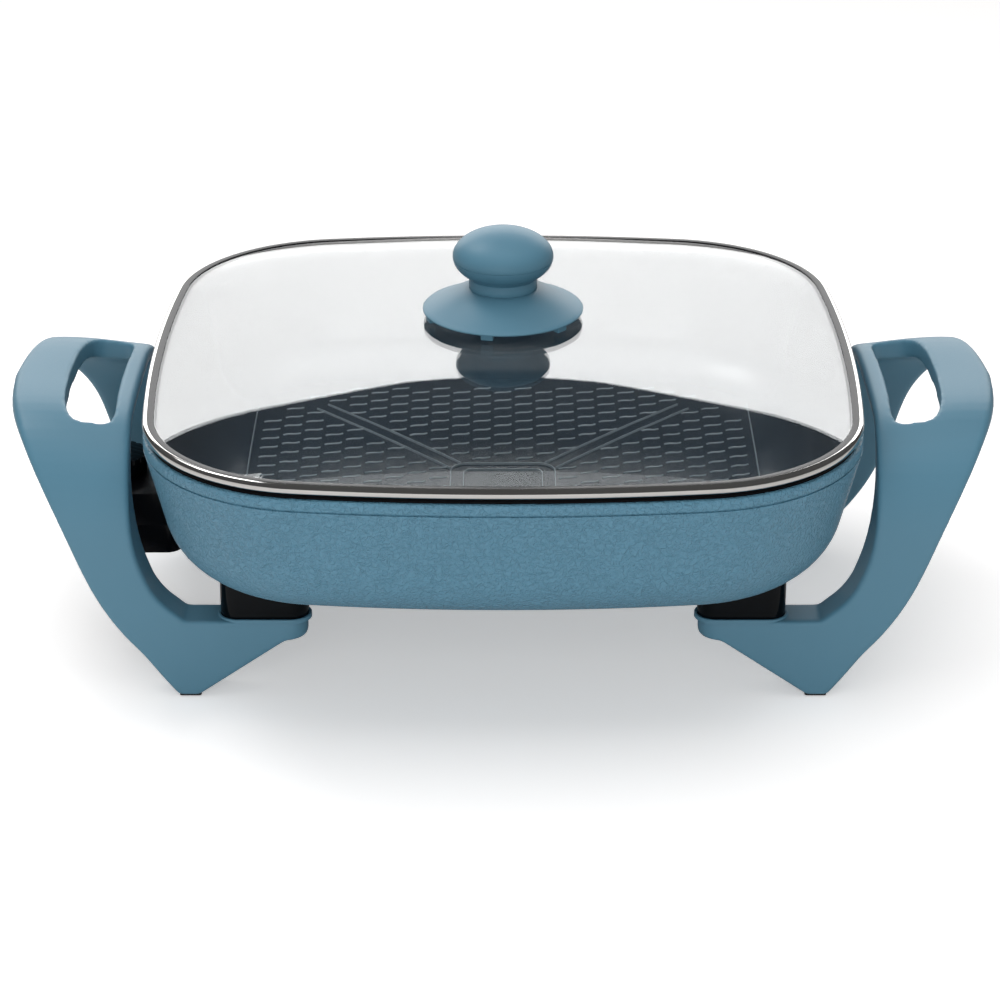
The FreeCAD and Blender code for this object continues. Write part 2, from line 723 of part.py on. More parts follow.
skirt_cone = doc.addObject("Part::Cone", "skirt_cone")
bind(skirt_cone, Radius1=S("skirt_round"), Radius2=S("collar_round+0.4"), Height=S("skirt_tall-skirt_lip"))
at(skirt_cone, z=f"{SKIRT_LOW}+skirt_lip")
skirt_edge = cylinder("skirt_edge", "skirt_round", "skirt_lip", z=SKIRT_LOW)
skirt_hollow = doc.addObject("Part::Cone", "skirt_hollow")
bind(skirt_hollow, Radius1=S("skirt_round-skirt_wall"), Radius2=S("collar_round-skirt_wall"),
     Height=S("skirt_tall-skirt_wall"))
at(skirt_hollow, z=f"{SKIRT_LOW}-0.001")
skirt_post = cylinder("skirt_post", "collar_round-skirt_wall", f"{SKIRT_TOP}-({KNOB_BASE})", z=KNOB_BASE)
skirt_eye = cylinder("skirt_eye", "knob_screw_round+screw_gap", "30", z="glass_crown")
skirt_feet = []
for n in range(SKIRT_FEET):
    turn = math.radians(SKIRT_FOOT_TURN + 360 / SKIRT_FEET * n)
    foot = box(f"skirt_foot{n}", ("0", "skirt_foot_deep"), ("0", "skirt_foot_wide"),
               ("0", "skirt_gap-seat_gap+0.5"))
    away, aside = Vector(math.cos(turn), math.sin(turn), 0), Vector(-math.sin(turn), math.cos(turn), 0)
    foot.Placement = Placement(Vector(), Rotation(Vector(0, 0, 1), math.degrees(turn)))
    at(foot, f"(skirt_round-skirt_foot_deep-0.4)*{away.x:.6f}-skirt_foot_wide/2*{aside.x:.6f}",
       f"(skirt_round-skirt_foot_deep-0.4)*{away.y:.6f}-skirt_foot_wide/2*{aside.y:.6f}",
       "glass_crown+seat_gap")
    skirt_feet.append(foot)
skirt_shell = cut("skirt_shell", fuse("skirt_body", skirt_cone, skirt_edge), skirt_hollow)
knob_skirt = cut("knob_skirt", fuse("skirt_all", skirt_shell, skirt_post, *skirt_feet), skirt_eye)

ball = doc.addObject("Part::Ellipsoid", "ball")
bind(ball, Radius1=S("ball_half_tall"), Radius2=S("ball_round"), Radius3=S("ball_round"))
at(ball, z=f"{SKIRT_TOP}+ball_centre_rise")
collar = cylinder("collar", "collar_round", "collar_tall", z=SKIRT_TOP)
cap_under = cylinder("cap_under", "ball_round+1", "20", z=f"{SKIRT_TOP}-20")
cap_bore = cylinder("cap_bore", "knob_screw_round", "knob_screw_bite", z=f"{SKIRT_TOP}-1")
knob_cap = cut("knob_cap", fuse("cap_body", ball, collar), cap_under, cap_bore)

GLASS_UNDER = "glass_crown-glass_thick"
washer_disc = cylinder("washer_disc", "knob_washer_round", "knob_washer_thick",
                       z=f"{GLASS_UNDER}-knob_washer_thick")
washer_eye = cylinder("washer_eye", "knob_screw_round+screw_gap", "9", z=f"{GLASS_UNDER}-5")
knob_washer = cut("knob_washer", washer_disc, washer_eye)
screw_head = cylinder("screw_head", "knob_screw_head", "knob_screw_head_thick",
                      z=f"{GLASS_UNDER}-knob_washer_thick-knob_screw_head_thick")
screw_shank = cylinder("screw_shank", "knob_screw_round",
                       f"{SKIRT_TOP}-1+knob_screw_bite-({GLASS_UNDER}-knob_washer_thick)",
                       z=f"{GLASS_UNDER}-knob_washer_thick")
knob_screw = fuse("knob_screw", screw_head, screw_shank)

# Heat control: two shells around a phenolic nose, thermostat, dial and inlet

def case(label, low, high):
    """Solid block of the control's plan with rounded upright corners."""
    block = box(f"{label}_block", ("control_back", "control_front"), ("-control_half", "control_half"),
                (low, high))
    return rounded(label, block, "control_corner", upright)


def room(label, low, high):
    """Hollow inside the case."""
    block = box(f"{label}_block", ("control_back+control_wall", "control_front-control_wall"),
                ("control_wall-control_half", "control_half-control_wall"), (low, high))
    return rounded(label, block, "control_corner", upright)


def nose_solid(label):
    return box(label, ("nose_root", "nose_end"), ("-nose_half", "nose_half"),
               ("element_level-nose_half_tall", "element_level+nose_half_tall"))


def posts(label, low, high, radius):
    """Cylinders at the four screw places of the case."""
    return [cylinder(f"{label}{n}", radius, f"({high})-({low})",
                     f"(control_back+control_front)/2+{sx}*((control_front-control_back)/2-post_edge)",
                     f"{sy}*(control_half-post_edge)", low)
            for n, (sx, sy) in enumerate((sx, sy) for sx in SIDES for sy in SIDES)]


def nose_parts(name):
    """Sleeves or their seats at the two pins."""
    return [cylinder(f"{name}{n}", "sleeve_round", "nose_end-sleeve_root", "sleeve_root",
                     f"{side}*loop_mouth_half", "element_level", "X") for n, side in enumerate(SIDES)]


inlet_seat_low = cylinder("inlet_seat_low", "inlet_round", "20", "control_back-10", "0",
                          "element_level", "X")
inlet_seat_top = cylinder("inlet_seat_top", "inlet_round", "20", "control_back-10", "0",
                          "element_level", "X")
low_case = cut("low_case", case("low_solid", "control_low", "control_split"),
               room("low_room", "control_low+control_wall", "control_split+1"))
low_full = fuse("low_full", low_case, *posts("low_post", "control_low", "control_split", "post_round"))
low_shell = cut("controller_bottom_shell", low_full, nose_solid("low_nose"), inlet_seat_low,
                *posts("low_bore", "control_low-1", "control_split+1", "control_screw_round+screw_gap"),
                *posts("low_sink", "control_low-1", "control_low+control_screw_head_thick",
                       "control_screw_head+screw_gap"))
top_case = cut("top_case", case("top_solid", "control_split", "control_top"),
               room("top_room", "control_split-1", "control_top-control_wall"))
top_full = fuse("top_full", top_case, *posts("top_post", "control_split", "control_top-1", "post_round"))
shaft_hole = cylinder("shaft_hole", "shaft_round+shaft_gap", "20", "dial_centre", "0", "control_top-10")
lens_hole = cylinder("lens_hole", "lens_round", "20", "lens_x", "lens_y", "control_top-10")
top_shell = cut("controller_top_shell", top_full, nose_solid("top_nose"), inlet_seat_top, shaft_hole,
                lens_hole, *posts("top_bore", "control_split-1",
                                  "control_low+control_screw_head_thick+control_screw_long",
                                  "control_screw_round"))

SCREW_SEAT = "control_low+control_screw_head_thick"
controller_screws = group("controller_screws", *[
    fuse(f"control_screw{n}", shank, head) for n, (shank, head) in enumerate(zip(
        posts("control_shank", SCREW_SEAT, f"{SCREW_SEAT}+control_screw_long", "control_screw_round"),
        posts("control_head", "control_low", SCREW_SEAT, "control_screw_head")))])

socket_block = cut("socket_block", nose_solid("nose"), *nose_parts("sleeve_seat"),
                   cylinder("probe_seat", "probe_round", "60", "probe_root", "0", "element_level", "X"))
sleeve_bores = [cylinder(f"sleeve_bore{n}", "pin_round+sleeve_gap", "nose_end-sleeve_root+2",
                         "sleeve_root-1", f"{side}*loop_mouth_half", "element_level", "X")
                for n, side in enumerate(SIDES)]
socket_sleeves = group("socket_sleeves", *[cut(f"sleeve{n}", sleeve, bore) for n, (sleeve, bore)
                                           in enumerate(zip(nose_parts("sleeve_tube"), sleeve_bores))])
probe_tip = doc.addObject("Part::Sphere", "probe_tip")
bind(probe_tip, Radius=S("probe_round"))
at(probe_tip, "probe_tip-probe_round", "0", "element_level")
probe_bar = cylinder("probe_bar", "probe_round", "probe_tip-probe_round-probe_root", "probe_root", "0",
                     "element_level", "X")
probe_rod = fuse("probe_rod", probe_bar, probe_tip)

stat_low = "control_low+control_wall"
thermostat_base = box("thermostat_base", ("dial_centre-stat_half_long", "dial_centre+stat_half_long"),
                      ("-stat_half_wide", "stat_half_wide"), (stat_low, f"{stat_low}+stat_tall"))
blades = [box(f"blade{n}", ("dial_centre-stat_half_long+1", "sleeve_root"),
              (f"{side}*loop_mouth_half*0.6-blade_wide/2", f"{side}*loop_mouth_half*0.6+blade_wide/2"),
              (f"{stat_low}+stat_tall", f"{stat_low}+stat_tall+blade_thick"))
          for n, side in enumerate(SIDES)]
contact_blades = group("contact_blades", *blades)

shaft_low = f"{stat_low}+stat_tall+seat_gap"
shaft = cylinder("shaft", "shaft_round", f"control_top+dial_gap+dial_tall-dial_wall-({shaft_low})",
                 "dial_centre", "0", shaft_low)
shaft_cam = cylinder("shaft_cam", "cam_round", "cam_thick", "dial_centre", "0",
                     "control_top-control_wall-cam_thick-seat_gap")
dial_shaft = fuse("dial_shaft", shaft, shaft_cam)
dial_body = cylinder("dial_body", "dial_round", "dial_tall", "dial_centre", "0", "control_top+dial_gap")
dial_hollow = cylinder("dial_hollow", "dial_round-dial_wall", "dial_tall-dial_wall", "dial_centre", "0",
                       "control_top+dial_gap-0.001")
dial_hub = cylinder("dial_hub", "shaft_round+dial_wall", "dial_tall-1", "dial_centre", "0",
                    "control_top+dial_gap+0.5")
dial_socket = cylinder("dial_socket", "shaft_round", "dial_tall-dial_wall", "dial_centre", "0",
                       "control_top+dial_gap")
flutes = []
for n in range(DIAL_FLUTES):
    turn = 2 * math.pi * n / DIAL_FLUTES
    flutes.append(cylinder(f"flute{n}", "dial_flute_round", "dial_tall+2",
                           f"dial_centre+(dial_round+dial_flute_round*0.4)*{math.cos(turn):.6f}",
                           f"(dial_round+dial_flute_round*0.4)*{math.sin(turn):.6f}", "control_top"))
dial_cup = cut("dial_cup", dial_body, dial_hollow)
temperature_dial = cut("temperature_dial", fuse("dial_full", dial_cup, dial_hub), dial_socket, *flutes)

indicator_lens = cylinder("indicator_lens", "lens_round", "lens_tall", "lens_x", "lens_y",
                          "control_top+lens_proud-lens_tall")
indicator_lamp = cylinder("indicator_lamp", "lamp_round", "lamp_long", "lens_x", "lens_y",
                          "control_top+lens_proud-lens_tall-lamp_long")

inlet_tube = cylinder("inlet_tube", "inlet_round", "inlet_long+control_wall", "control_back-inlet_long",
                      "0", "element_level", "X")
inlet_inner = cylinder("inlet_inner", "inlet_flange", "inlet_flange_thick", "control_back+control_wall",
                       "0", "element_level", "X")
inlet_bore = cylinder("inlet_bore", "inlet_bore", "40", "control_back-20", "0", "element_level", "X")
cord_inlet_bushing = cut("cord_inlet_bushing", fuse("inlet_body", inlet_tube, inlet_inner), inlet_bore)

NODES = [pan, element, terminal_pins, pin_insulators, plug_guard, handle_left, handle_right, *pads,
         *standoffs, handle_screws, handle_washers, glass, rim_band, knob_gasket, knob_skirt, knob_cap,
         knob_washer, knob_screw, low_shell, top_shell, controller_screws, socket_block, socket_sleeves,
         probe_rod, thermostat_base, contact_blades, dial_shaft, temperature_dial, indicator_lens,
         indicator_lamp, cord_inlet_bushing]

doc.recompute()

broken = [item.Label for item in doc.Objects if {"Invalid", "Error"} & set(item.State)]
broken += [item.Label for item in NODES if item.Shape.isNull() or not item.Shape.isValid()]
if broken:
    raise RuntimeError(f"failed objects: {broken}")

os.makedirs("parts", exist_ok=True)
for item in NODES:
    item.Shape.exportStep(f"parts/{item.Label}.step")
    span = item.Shape.BoundBox
    print(f"{item.Label:26s} solids {len(item.Shape.Solids)} volume {item.Shape.Volume:10.1f}"
          f"  x {span.XMin:7.1f} {span.XMax:7.1f}  y {span.YMin:7.1f} {span.YMax:7.1f}"
          f"  z {span.ZMin:6.1f} {span.ZMax:6.1f}")
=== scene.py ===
"""Looks of an electric skillet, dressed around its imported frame.

Each sub-assembly is a class that holds its sizes in metres and builds its own meshes, and each finish is a
small class that builds one material.
"""

import json
import logging
import math
from dataclasses import dataclass, field, replace
from enum import Enum

import bmesh
import bpy
from mathutils import Matrix, Vector

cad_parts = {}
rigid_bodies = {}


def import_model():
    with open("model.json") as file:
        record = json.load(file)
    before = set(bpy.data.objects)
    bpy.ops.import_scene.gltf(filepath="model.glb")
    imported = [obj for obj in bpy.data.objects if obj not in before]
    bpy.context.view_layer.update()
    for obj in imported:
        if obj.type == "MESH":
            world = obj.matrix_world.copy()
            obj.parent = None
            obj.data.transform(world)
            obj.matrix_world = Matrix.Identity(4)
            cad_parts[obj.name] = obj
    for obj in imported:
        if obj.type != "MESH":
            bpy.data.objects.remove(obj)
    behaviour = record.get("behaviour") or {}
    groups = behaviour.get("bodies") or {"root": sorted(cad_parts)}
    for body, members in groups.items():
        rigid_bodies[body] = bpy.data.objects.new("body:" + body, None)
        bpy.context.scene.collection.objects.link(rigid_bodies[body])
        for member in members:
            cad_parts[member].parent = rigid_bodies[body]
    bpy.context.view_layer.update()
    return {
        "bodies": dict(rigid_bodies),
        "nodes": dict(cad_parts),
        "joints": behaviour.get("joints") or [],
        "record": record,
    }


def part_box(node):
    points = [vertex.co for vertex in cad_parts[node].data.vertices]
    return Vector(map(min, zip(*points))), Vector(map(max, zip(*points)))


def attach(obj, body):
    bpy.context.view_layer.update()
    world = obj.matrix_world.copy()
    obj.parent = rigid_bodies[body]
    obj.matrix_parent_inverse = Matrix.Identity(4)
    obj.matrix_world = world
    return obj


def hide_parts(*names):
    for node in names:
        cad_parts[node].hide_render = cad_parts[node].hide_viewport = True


LOG = logging.getLogger("skillet")
MM = 0.001
MERGE = 0.002 * MM
Section = tuple[float, float, float]
Rings = list[list[Vector]]


class Body(Enum):
    """Moving bodies of the frame."""

    SKILLET = "skillet"
    LID = "lid"
    CONTROL = "controller"
    DIAL = "dial"


# Node trees

@dataclass(frozen=True)
class Wiring:
    """Short ways to add nodes to one tree and to feed them."""

    tree: bpy.types.NodeTree

    @classmethod
    def group(cls, name: str, kind: str, inputs: dict[str, object],
              outputs: dict[str, str]) -> tuple["Wiring", bpy.types.Node, bpy.types.Node]:
        """Start a node group with named sockets.

        Args:
            name: The group's name.
            kind: The tree's type.
            inputs: Input names, each with its default number or colour.
            outputs: Output names, each with its kind, such as "Color".

        Returns:
            The wiring, the group's entry node and its leaving node.
        """
        tree = bpy.data.node_groups.new(name, kind)
        for label, value in inputs.items():
            socket_type = "NodeSocketFloat" if isinstance(value, float) else "NodeSocketColor"
            socket = tree.interface.new_socket(name=label, in_out="INPUT", socket_type=socket_type)
            socket.default_value = value
        for label, socket_kind in outputs.items():
            tree.interface.new_socket(name=label, in_out="OUTPUT", socket_type=f"NodeSocket{socket_kind}")
        return cls(tree), tree.nodes.new("NodeGroupInput"), tree.nodes.new("NodeGroupOutput")

    @classmethod
    def material(cls, name: str) -> tuple[bpy.types.Material, "Wiring", bpy.types.Node]:
        """Start a material.

        Args:
            name: The material's name.

        Returns:
            The material, its wiring and its Principled shader.
        """
        material = bpy.data.materials.new(name)
        material.use_nodes = True
        return material, cls(material.node_tree), material.node_tree.nodes["Principled BSDF"]

    def feed(self, node: bpy.types.Node, feeds: dict) -> None:
        """Link or set a node's inputs.

        Args:
            node: The node.
            feeds: Input names or numbers, each with a socket to link or a plain value.
        """
        for name, value in feeds.items():
            if isinstance(value, bpy.types.NodeSocket):
                self.tree.links.new(value, node.inputs[name])
            else:
                node.inputs[name].default_value = value

    def add(self, kind: str, feeds: dict | None = None, **settings: object) -> bpy.types.Node:
        """Add a node and feed it.

        Args:
            kind: The node's type.
            feeds: Input names or numbers, each with a socket to link or a plain value.
            settings: The node's own settings.

        Returns:
            The node.
        """
        node = self.tree.nodes.new(kind)
        for name, value in settings.items():
            setattr(node, name, value)
        self.feed(node, feeds or {})
        return node

    def calc(self, operation: str, *values: object) -> bpy.types.NodeSocket:
        """Return the result of a math node.

        Args:
            operation: What it does.
            values: Sockets or numbers to feed it with.

        Returns:
            The result's socket.
        """
        return self.add("ShaderNodeMath", dict(enumerate(values)), operation=operation).outputs[0]

    def mapped(self, value: bpy.types.NodeSocket, source: tuple[float, float],
               target: tuple[float, float]) -> bpy.types.NodeSocket:
        """Return a value moved from one range to another and held inside it.

        Args:
            value: The value's socket.
            source: The range it comes from.
            target: The range it goes to.

        Returns:
            The result's socket.
        """
        feeds = dict(zip(("From Min", "From Max", "To Min", "To Max", "Value"), (*source, *target, value)))
        return self.add("ShaderNodeMapRange", feeds).outputs["Result"]

    def scattered(self, leave: bpy.types.Node, material: bpy.types.Material,
                  feeds: dict) -> bpy.types.Object:
        """End a geometry group with real, painted copies of a form and put it on a new object.

        Args:
            leave: The group's leaving node.
            material: The finish.
            feeds: Points, form and turn of the copies.

        Returns:
            The object, of the group's name.
        """
        spread = self.add("GeometryNodeInstanceOnPoints", feeds)
        real = self.add("GeometryNodeRealizeInstances", {0: spread.outputs[0]})
        paint = self.add("GeometryNodeSetMaterial", {"Geometry": real.outputs[0], "Material": material})
        self.feed(leave, {"Geometry": paint.outputs[0]})
        name = self.tree.name
        item = link(bpy.data.objects.new(name, bpy.data.meshes.new(name)))
        item.modifiers.new(name, "NODES").node_group = self.tree
        return item


# Finishes

@dataclass(frozen=True)
class GrainGroup:
    """Fine moulded grain with a slow drift of shade, shared by plastics, paint and rubber."""

    name: str = "moulded_grain"
    detail: float = 3.0
    drift_per_metre: float = 18.0
    gloss_range: tuple[float, float] = (0.36, 0.52)

    def tree(self) -> bpy.types.NodeTree:
        """Return the node group, built on first use."""
        if self.name in bpy.data.node_groups:
            return bpy.data.node_groups[self.name]
        wiring, entry, leave = Wiring.group(
            self.name, "ShaderNodeTree",
            {"Base": (0.5, 0.5, 0.5, 1), "Grain per metre": 1200.0, "Shade drift": 0.08},
            {"Color": "Color", "Height": "Float", "Roughness": "Float"})
        place = wiring.add("ShaderNodeTexCoord").outputs["Object"]
        fine = wiring.add("ShaderNodeTexNoise", {"Detail": self.detail, "Vector": place,
                                                 "Scale": entry.outputs["Grain per metre"]}).outputs["Fac"]
        broad = wiring.add("ShaderNodeTexNoise", {"Scale": self.drift_per_metre, "Vector": place})
        centred = wiring.calc("SUBTRACT", broad.outputs["Fac"], 0.5)
        drift = wiring.calc("MULTIPLY_ADD", centred, entry.outputs["Shade drift"], 1.0)
        shade = wiring.add("ShaderNodeHueSaturation", {"Color": entry.outputs["Base"], "Value": drift})
        wiring.feed(leave, {"Color": shade.outputs["Color"], "Height": fine,
                            "Roughness": wiring.mapped(fine, (0.0, 1.0), self.gloss_range)})
        return wiring.tree


@dataclass(frozen=True)
class ReliefGroup:
    """Low relief of small rounded lumps, as on the pan's outside."""

    name: str = "lumped_relief"
    detail: float = 1.6
    distortion: float = 1.2
    height_range: tuple[float, float] = (0.36, 0.62)

    def tree(self) -> bpy.types.NodeTree:
        """Return the node group, built on first use."""
        if self.name in bpy.data.node_groups:
            return bpy.data.node_groups[self.name]
        wiring, entry, leave = Wiring.group(self.name, "ShaderNodeTree", {"Lumps per metre": 520.0},
                                            {"Height": "Float"})
        lumps = wiring.add("ShaderNodeTexNoise", {
            "Detail": self.detail, "Distortion": self.distortion,
            "Vector": wiring.add("ShaderNodeTexCoord").outputs["Object"],
            "Scale": entry.outputs["Lumps per metre"]})
        wiring.feed(leave, {"Height": wiring.mapped(lumps.outputs["Fac"], self.height_range, (0.0, 1.0))})
        return wiring.tree


@dataclass(frozen=True)
class Finish:
    """A finish whose gloss is plain and whose colour and surface come from the shared grain."""

    name: str
    color: tuple[float, float, float]
    grain: float = 1200.0
    drift: float = 0.08
    depth_mm: float = 0.03
    metallic: float = 0.0
    roughness: float | None = None
    coat: float = 0.0
    relief_mm: float = 0.0
    specular: float = 0.5
    coat_roughness: float = 0.08

    def build(self) -> bpy.types.Material:
        """Return the material."""
        material, wiring, shader = Wiring.material(self.name)
        grain = wiring.add("ShaderNodeGroup", {"Base": (*self.color, 1), "Grain per metre": self.grain,
                                               "Shade drift": self.drift},
                           node_tree=GrainGroup().tree()).outputs
        bump = wiring.add("ShaderNodeBump", {"Distance": self.depth_mm * MM, "Height": grain["Height"]})
        if self.relief_mm:
            relief = wiring.add("ShaderNodeGroup", node_tree=ReliefGroup().tree())
            fold = wiring.add("ShaderNodeBump", {"Distance": self.relief_mm * MM,
                                                 "Height": relief.outputs["Height"]})
            wiring.feed(bump, {"Normal": fold.outputs["Normal"]})
        wiring.feed(shader, {
            "Base Color": grain["Color"], "Metallic": self.metallic,
            "Roughness": grain["Roughness"] if self.roughness is None else self.roughness,
            "Specular IOR Level": self.specular, "Coat Weight": self.coat,
            "Coat Roughness": self.coat_roughness, "Normal": bump.outputs["Normal"]})
        return material


@dataclass(frozen=True)
class ClearGlass:
    """Clear tempered glass that lets light through to the pan."""

    name: str = "tempered_glass"
    tint: tuple[float, float, float] = (0.96, 0.98, 0.98)
    ior: float = 1.5

    def build(self) -> bpy.types.Material:
        """Return the material."""
        material, wiring, shader = Wiring.material(self.name)
        tint = (*self.tint, 1)
        wiring.feed(shader, {"Base Color": tint, "Roughness": 0.0, "IOR": self.ior,
                             "Transmission Weight": 1.0})
        clear = wiring.add("ShaderNodeBsdfTransparent", {"Color": tint})
        path = wiring.add("ShaderNodeLightPath").outputs
        unseen = wiring.calc("MAXIMUM", path["Is Shadow Ray"], path["Is Diffuse Ray"])
        mix = wiring.add("ShaderNodeMixShader", {"Fac": unseen, 1: shader.outputs[0], 2: clear.outputs[0]})
        wiring.feed(material.node_tree.nodes["Material Output"], {"Surface": mix.outputs[0]})
        return material


@dataclass(frozen=True)
class Palette:
    """Every finish of the skillet, built once."""

    enamel: bpy.types.Material
    blue: bpy.types.Material
    nonstick: bpy.types.Material
    rib: bpy.types.Material
    steel: bpy.types.Material
    glass: bpy.types.Material
    gloss: bpy.types.Material
    satin: bpy.types.Material
    rubber: bpy.types.Material
    ceramic: bpy.types.Material
    zinc: bpy.types.Material
    sheath: bpy.types.Material
    white: bpy.types.Material
    red: bpy.types.Material

    @classmethod
    def mixed(cls) -> "Palette":
        """Return the palette with all its materials built."""
        blue, dyed = (0.095, 0.238, 0.336), (0.086, 0.213, 0.297)
        return cls(
            enamel=Finish("blue_enamel", blue, 1500, 0.07, 0.012, roughness=0.27, relief_mm=0.5).build(),
            blue=Finish("blue_plastic", dyed, 1900, 0.05, 0.02).build(),
            nonstick=Finish("slate_coating", (0.019, 0.031, 0.045), 2600, 0.2, 0.015, roughness=0.24).build(),
            # Ribs and dashes share the dark slate coating; this far lighter copy is a painted highlight along
            # their raised ridges.
            rib=Finish("slate_ridge_highlight", (0.24, 0.28, 0.31), 2600, 0.2, 0.01, roughness=0.2,
                       specular=0.9).build(),
            steel=Finish("polished_steel", (0.80, 0.79, 0.77), 700, 0.03, 0.002, 1.0, 0.09).build(),
            glass=ClearGlass().build(),
            gloss=Finish("gloss_black", (0.002, 0.003, 0.004), 900, 0.1, 0.003, roughness=0.07,
                         specular=0.16).build(),
            satin=Finish("satin_black", (0.002, 0.002, 0.003), 1700, 0.1, 0.02, roughness=0.24,
                         specular=0.16).build(),
            rubber=Finish("black_rubber", (0.02, 0.02, 0.02), 1200, 0.15, 0.05, roughness=0.75).build(),
            ceramic=Finish("phenolic", (0.55, 0.50, 0.42), 900, 0.12, 0.03).build(),
            zinc=Finish("zinc_steel", (0.55, 0.55, 0.55), 800, 0.08, 0.01, 1.0, 0.3).build(),
            sheath=Finish("heated_sheath", (0.22, 0.20, 0.18), 500, 0.3, 0.02, 1.0, 0.45).build(),
            white=Finish("white_plastic", (0.75, 0.75, 0.72), 1200, 0.05, 0.02).build(),
            red=Finish("red_lens", (0.45, 0.02, 0.015), 600, 0.1, 0.005, roughness=0.12, coat=0.5).build(),
        )


# Mesh making

def piece(name: str, verts: list[Vector], faces: list[list[int]],
          materials: list[bpy.types.Material], slots: list[int] | None = None) -> bpy.types.Object:
    """Make a smooth mesh object at the origin.

    Args:
        name: The object's name.
        verts: Its points in metres.
        faces: Its faces as lists of point numbers.
        materials: Its material slots.
        slots: Slot of each face, or None for the first.

    Returns:
        The object, linked to the scene.
    """
    mesh = bpy.data.meshes.new(name)
    mesh.from_pydata([tuple(v) for v in verts], [], faces)
    for material in materials:
        mesh.materials.append(material)
    if slots:
        mesh.polygons.foreach_set("material_index", slots)
    mesh.shade_smooth()
    mesh.update()
    return link(bpy.data.objects.new(name, mesh))


def link(item: bpy.types.Object) -> bpy.types.Object:
    """Link an object to the scene.

    Args:
        item: The object.

    Returns:
        The same object.
    """
    bpy.context.scene.collection.objects.link(item)
    return item


def skin(rings: Rings, loop: bool = False) -> tuple[list[Vector], list[list[int]]]:
    """Join equal rings by quads, with a face over each end unless they form a loop.

    Args:
        rings: Rings of points, all of one length.
        loop: True where the last ring joins the first.

    Returns:
        Points and faces.
    """
    count = len(rings[0])
    verts = [point for ring in rings for point in ring]
    faces = []
    pairs = len(rings) if loop else len(rings) - 1
    for n in range(pairs):
        low, high = n * count, (n + 1) % len(rings) * count
        for k in range(count):
            nxt = (k + 1) % count
            faces.append([low + k, low + nxt, high + nxt, high + k])
    if not loop:
        last = (len(rings) - 1) * count
        faces.append(list(range(count))[::-1])
        faces.append([last + k for k in range(count)])
    return verts, faces


def gathered(shapes: list[tuple[Rings, bool]]) -> tuple[list[Vector], list[list[int]]]:
    """Skin several sets of rings into one list of points and one of faces.

    Args:
        shapes: Sets of rings, each with True where its last ring joins its first.

    Returns:
        Points and faces.
    """
    verts, faces = [], []
    for rings, loop in shapes:
        start = len(verts)
        points, quads = skin(rings, loop)
        verts.extend(points)
        faces.extend([[start + k for k in quad] for quad in quads])
    return verts, faces


def round_angles(steps: int) -> list[float]:
    """Return evenly spaced angles of a full circle.

    Args:
        steps: How many.

    Returns:
        The angles in radians.
    """
    return [2 * math.pi * k / steps for k in range(steps)]


def tidy(item: bpy.types.Object, sharp: float = 40.0) -> bpy.types.Object:
    """Merge doubles, turn faces outwards and mark edges sharper than an angle.

    Args:
        item: A mesh object.
        sharp: Angle in degrees past which an edge is shaded sharp.

    Returns:
        The same object.
    """
    bm = bmesh.new()
    bm.from_mesh(item.data)
    bmesh.ops.remove_doubles(bm, verts=bm.verts, dist=MERGE)
    bmesh.ops.recalc_face_normals(bm, faces=bm.faces)
    for edge in bm.edges:
        edge.smooth = len(edge.link_faces) == 2 and edge.calc_face_angle(0) < math.radians(sharp)
    bm.to_mesh(item.data)
    bm.free()
    return item


def baked(item: bpy.types.Object) -> bpy.types.Object:
    """Turn an object and its modifiers into a plain mesh object of the same name.

    Args:
        item: An object with modifiers.

    Returns:
        The plain object that takes its place.
    """
    graph = bpy.context.evaluated_depsgraph_get()
    mesh = bpy.data.meshes.new_from_object(item.evaluated_get(graph))
    name = item.name
    bpy.data.objects.remove(item)
    mesh.name = name
    return link(bpy.data.objects.new(name, mesh))


def modified(item: bpy.types.Object, kind: str, **settings: object) -> None:
    """Add a modifier to an object.

    Args:
        item: The object.
        kind: The modifier's type.
        settings: The modifier's own settings.
    """
    modifier = item.modifiers.new(kind.lower(), kind)
    for name, value in settings.items():
        setattr(modifier, name, value)


def lathe(name: str, profile: list[tuple[float, float]], material: bpy.types.Material,
          steps: int = 96, centre: tuple[float, float] = (0.0, 0.0)) -> bpy.types.Object:
    """Turn a closed profile about a vertical axis.

    Args:
        name: The piece's name.
        profile: Radius and height of each point, from the axis outwards and back to it.
        material: The finish.
        steps: Number of steps round.
        centre: X and Y of the axis.

    Returns:
        The piece.
    """
    rings = [[Vector((centre[0] + r * math.cos(a), centre[1] + r * math.sin(a), z))
              for a in round_angles(steps)] for r, z in profile]
    return tidy(piece(name, *skin(rings), [material]))


def copy_of(frame: dict, node: str, material: bpy.types.Material) -> bpy.types.Object:
    """Return a merged copy of a CAD node's mesh with one finish.

    Args:
        frame: The loaded frame.
        node: The node to copy.
        material: The finish.

    Returns:
        The copy.
    """
    mesh = frame["nodes"][node].data.copy()
    mesh.name = f"{node}_shell"
    mesh.materials.clear()
    mesh.materials.append(material)
    mesh.polygons.foreach_set("material_index", [0] * len(mesh.polygons))
    item = link(bpy.data.objects.new(f"{node}_shell", mesh))
    bm = bmesh.new()
    bm.from_mesh(mesh)
    bmesh.ops.remove_doubles(bm, verts=bm.verts, dist=MERGE)
    bmesh.ops.dissolve_limit(bm, angle_limit=math.radians(0.5), verts=bm.verts, edges=bm.edges)
    bm.to_mesh(mesh)
    bm.free()
    return item


def eased(frame: dict, node: str, material: bpy.types.Material, width_mm: float) -> bpy.types.Object:
    """Return a copy of a CAD node with its sharp edges rounded, standing for that node.

    Args:
        frame: The loaded frame.
        node: The node.
        material: The finish.
        width_mm: Width of the rounding.

    Returns:
        The rounded copy.
    """
    item = copy_of(frame, node, material)
    modified(item, "BEVEL", width=width_mm * MM, segments=3, limit_method="ANGLE",
             angle_limit=math.radians(40))
    item = baked(item)
    item.data.shade_smooth()
    return tidy(item, 35)


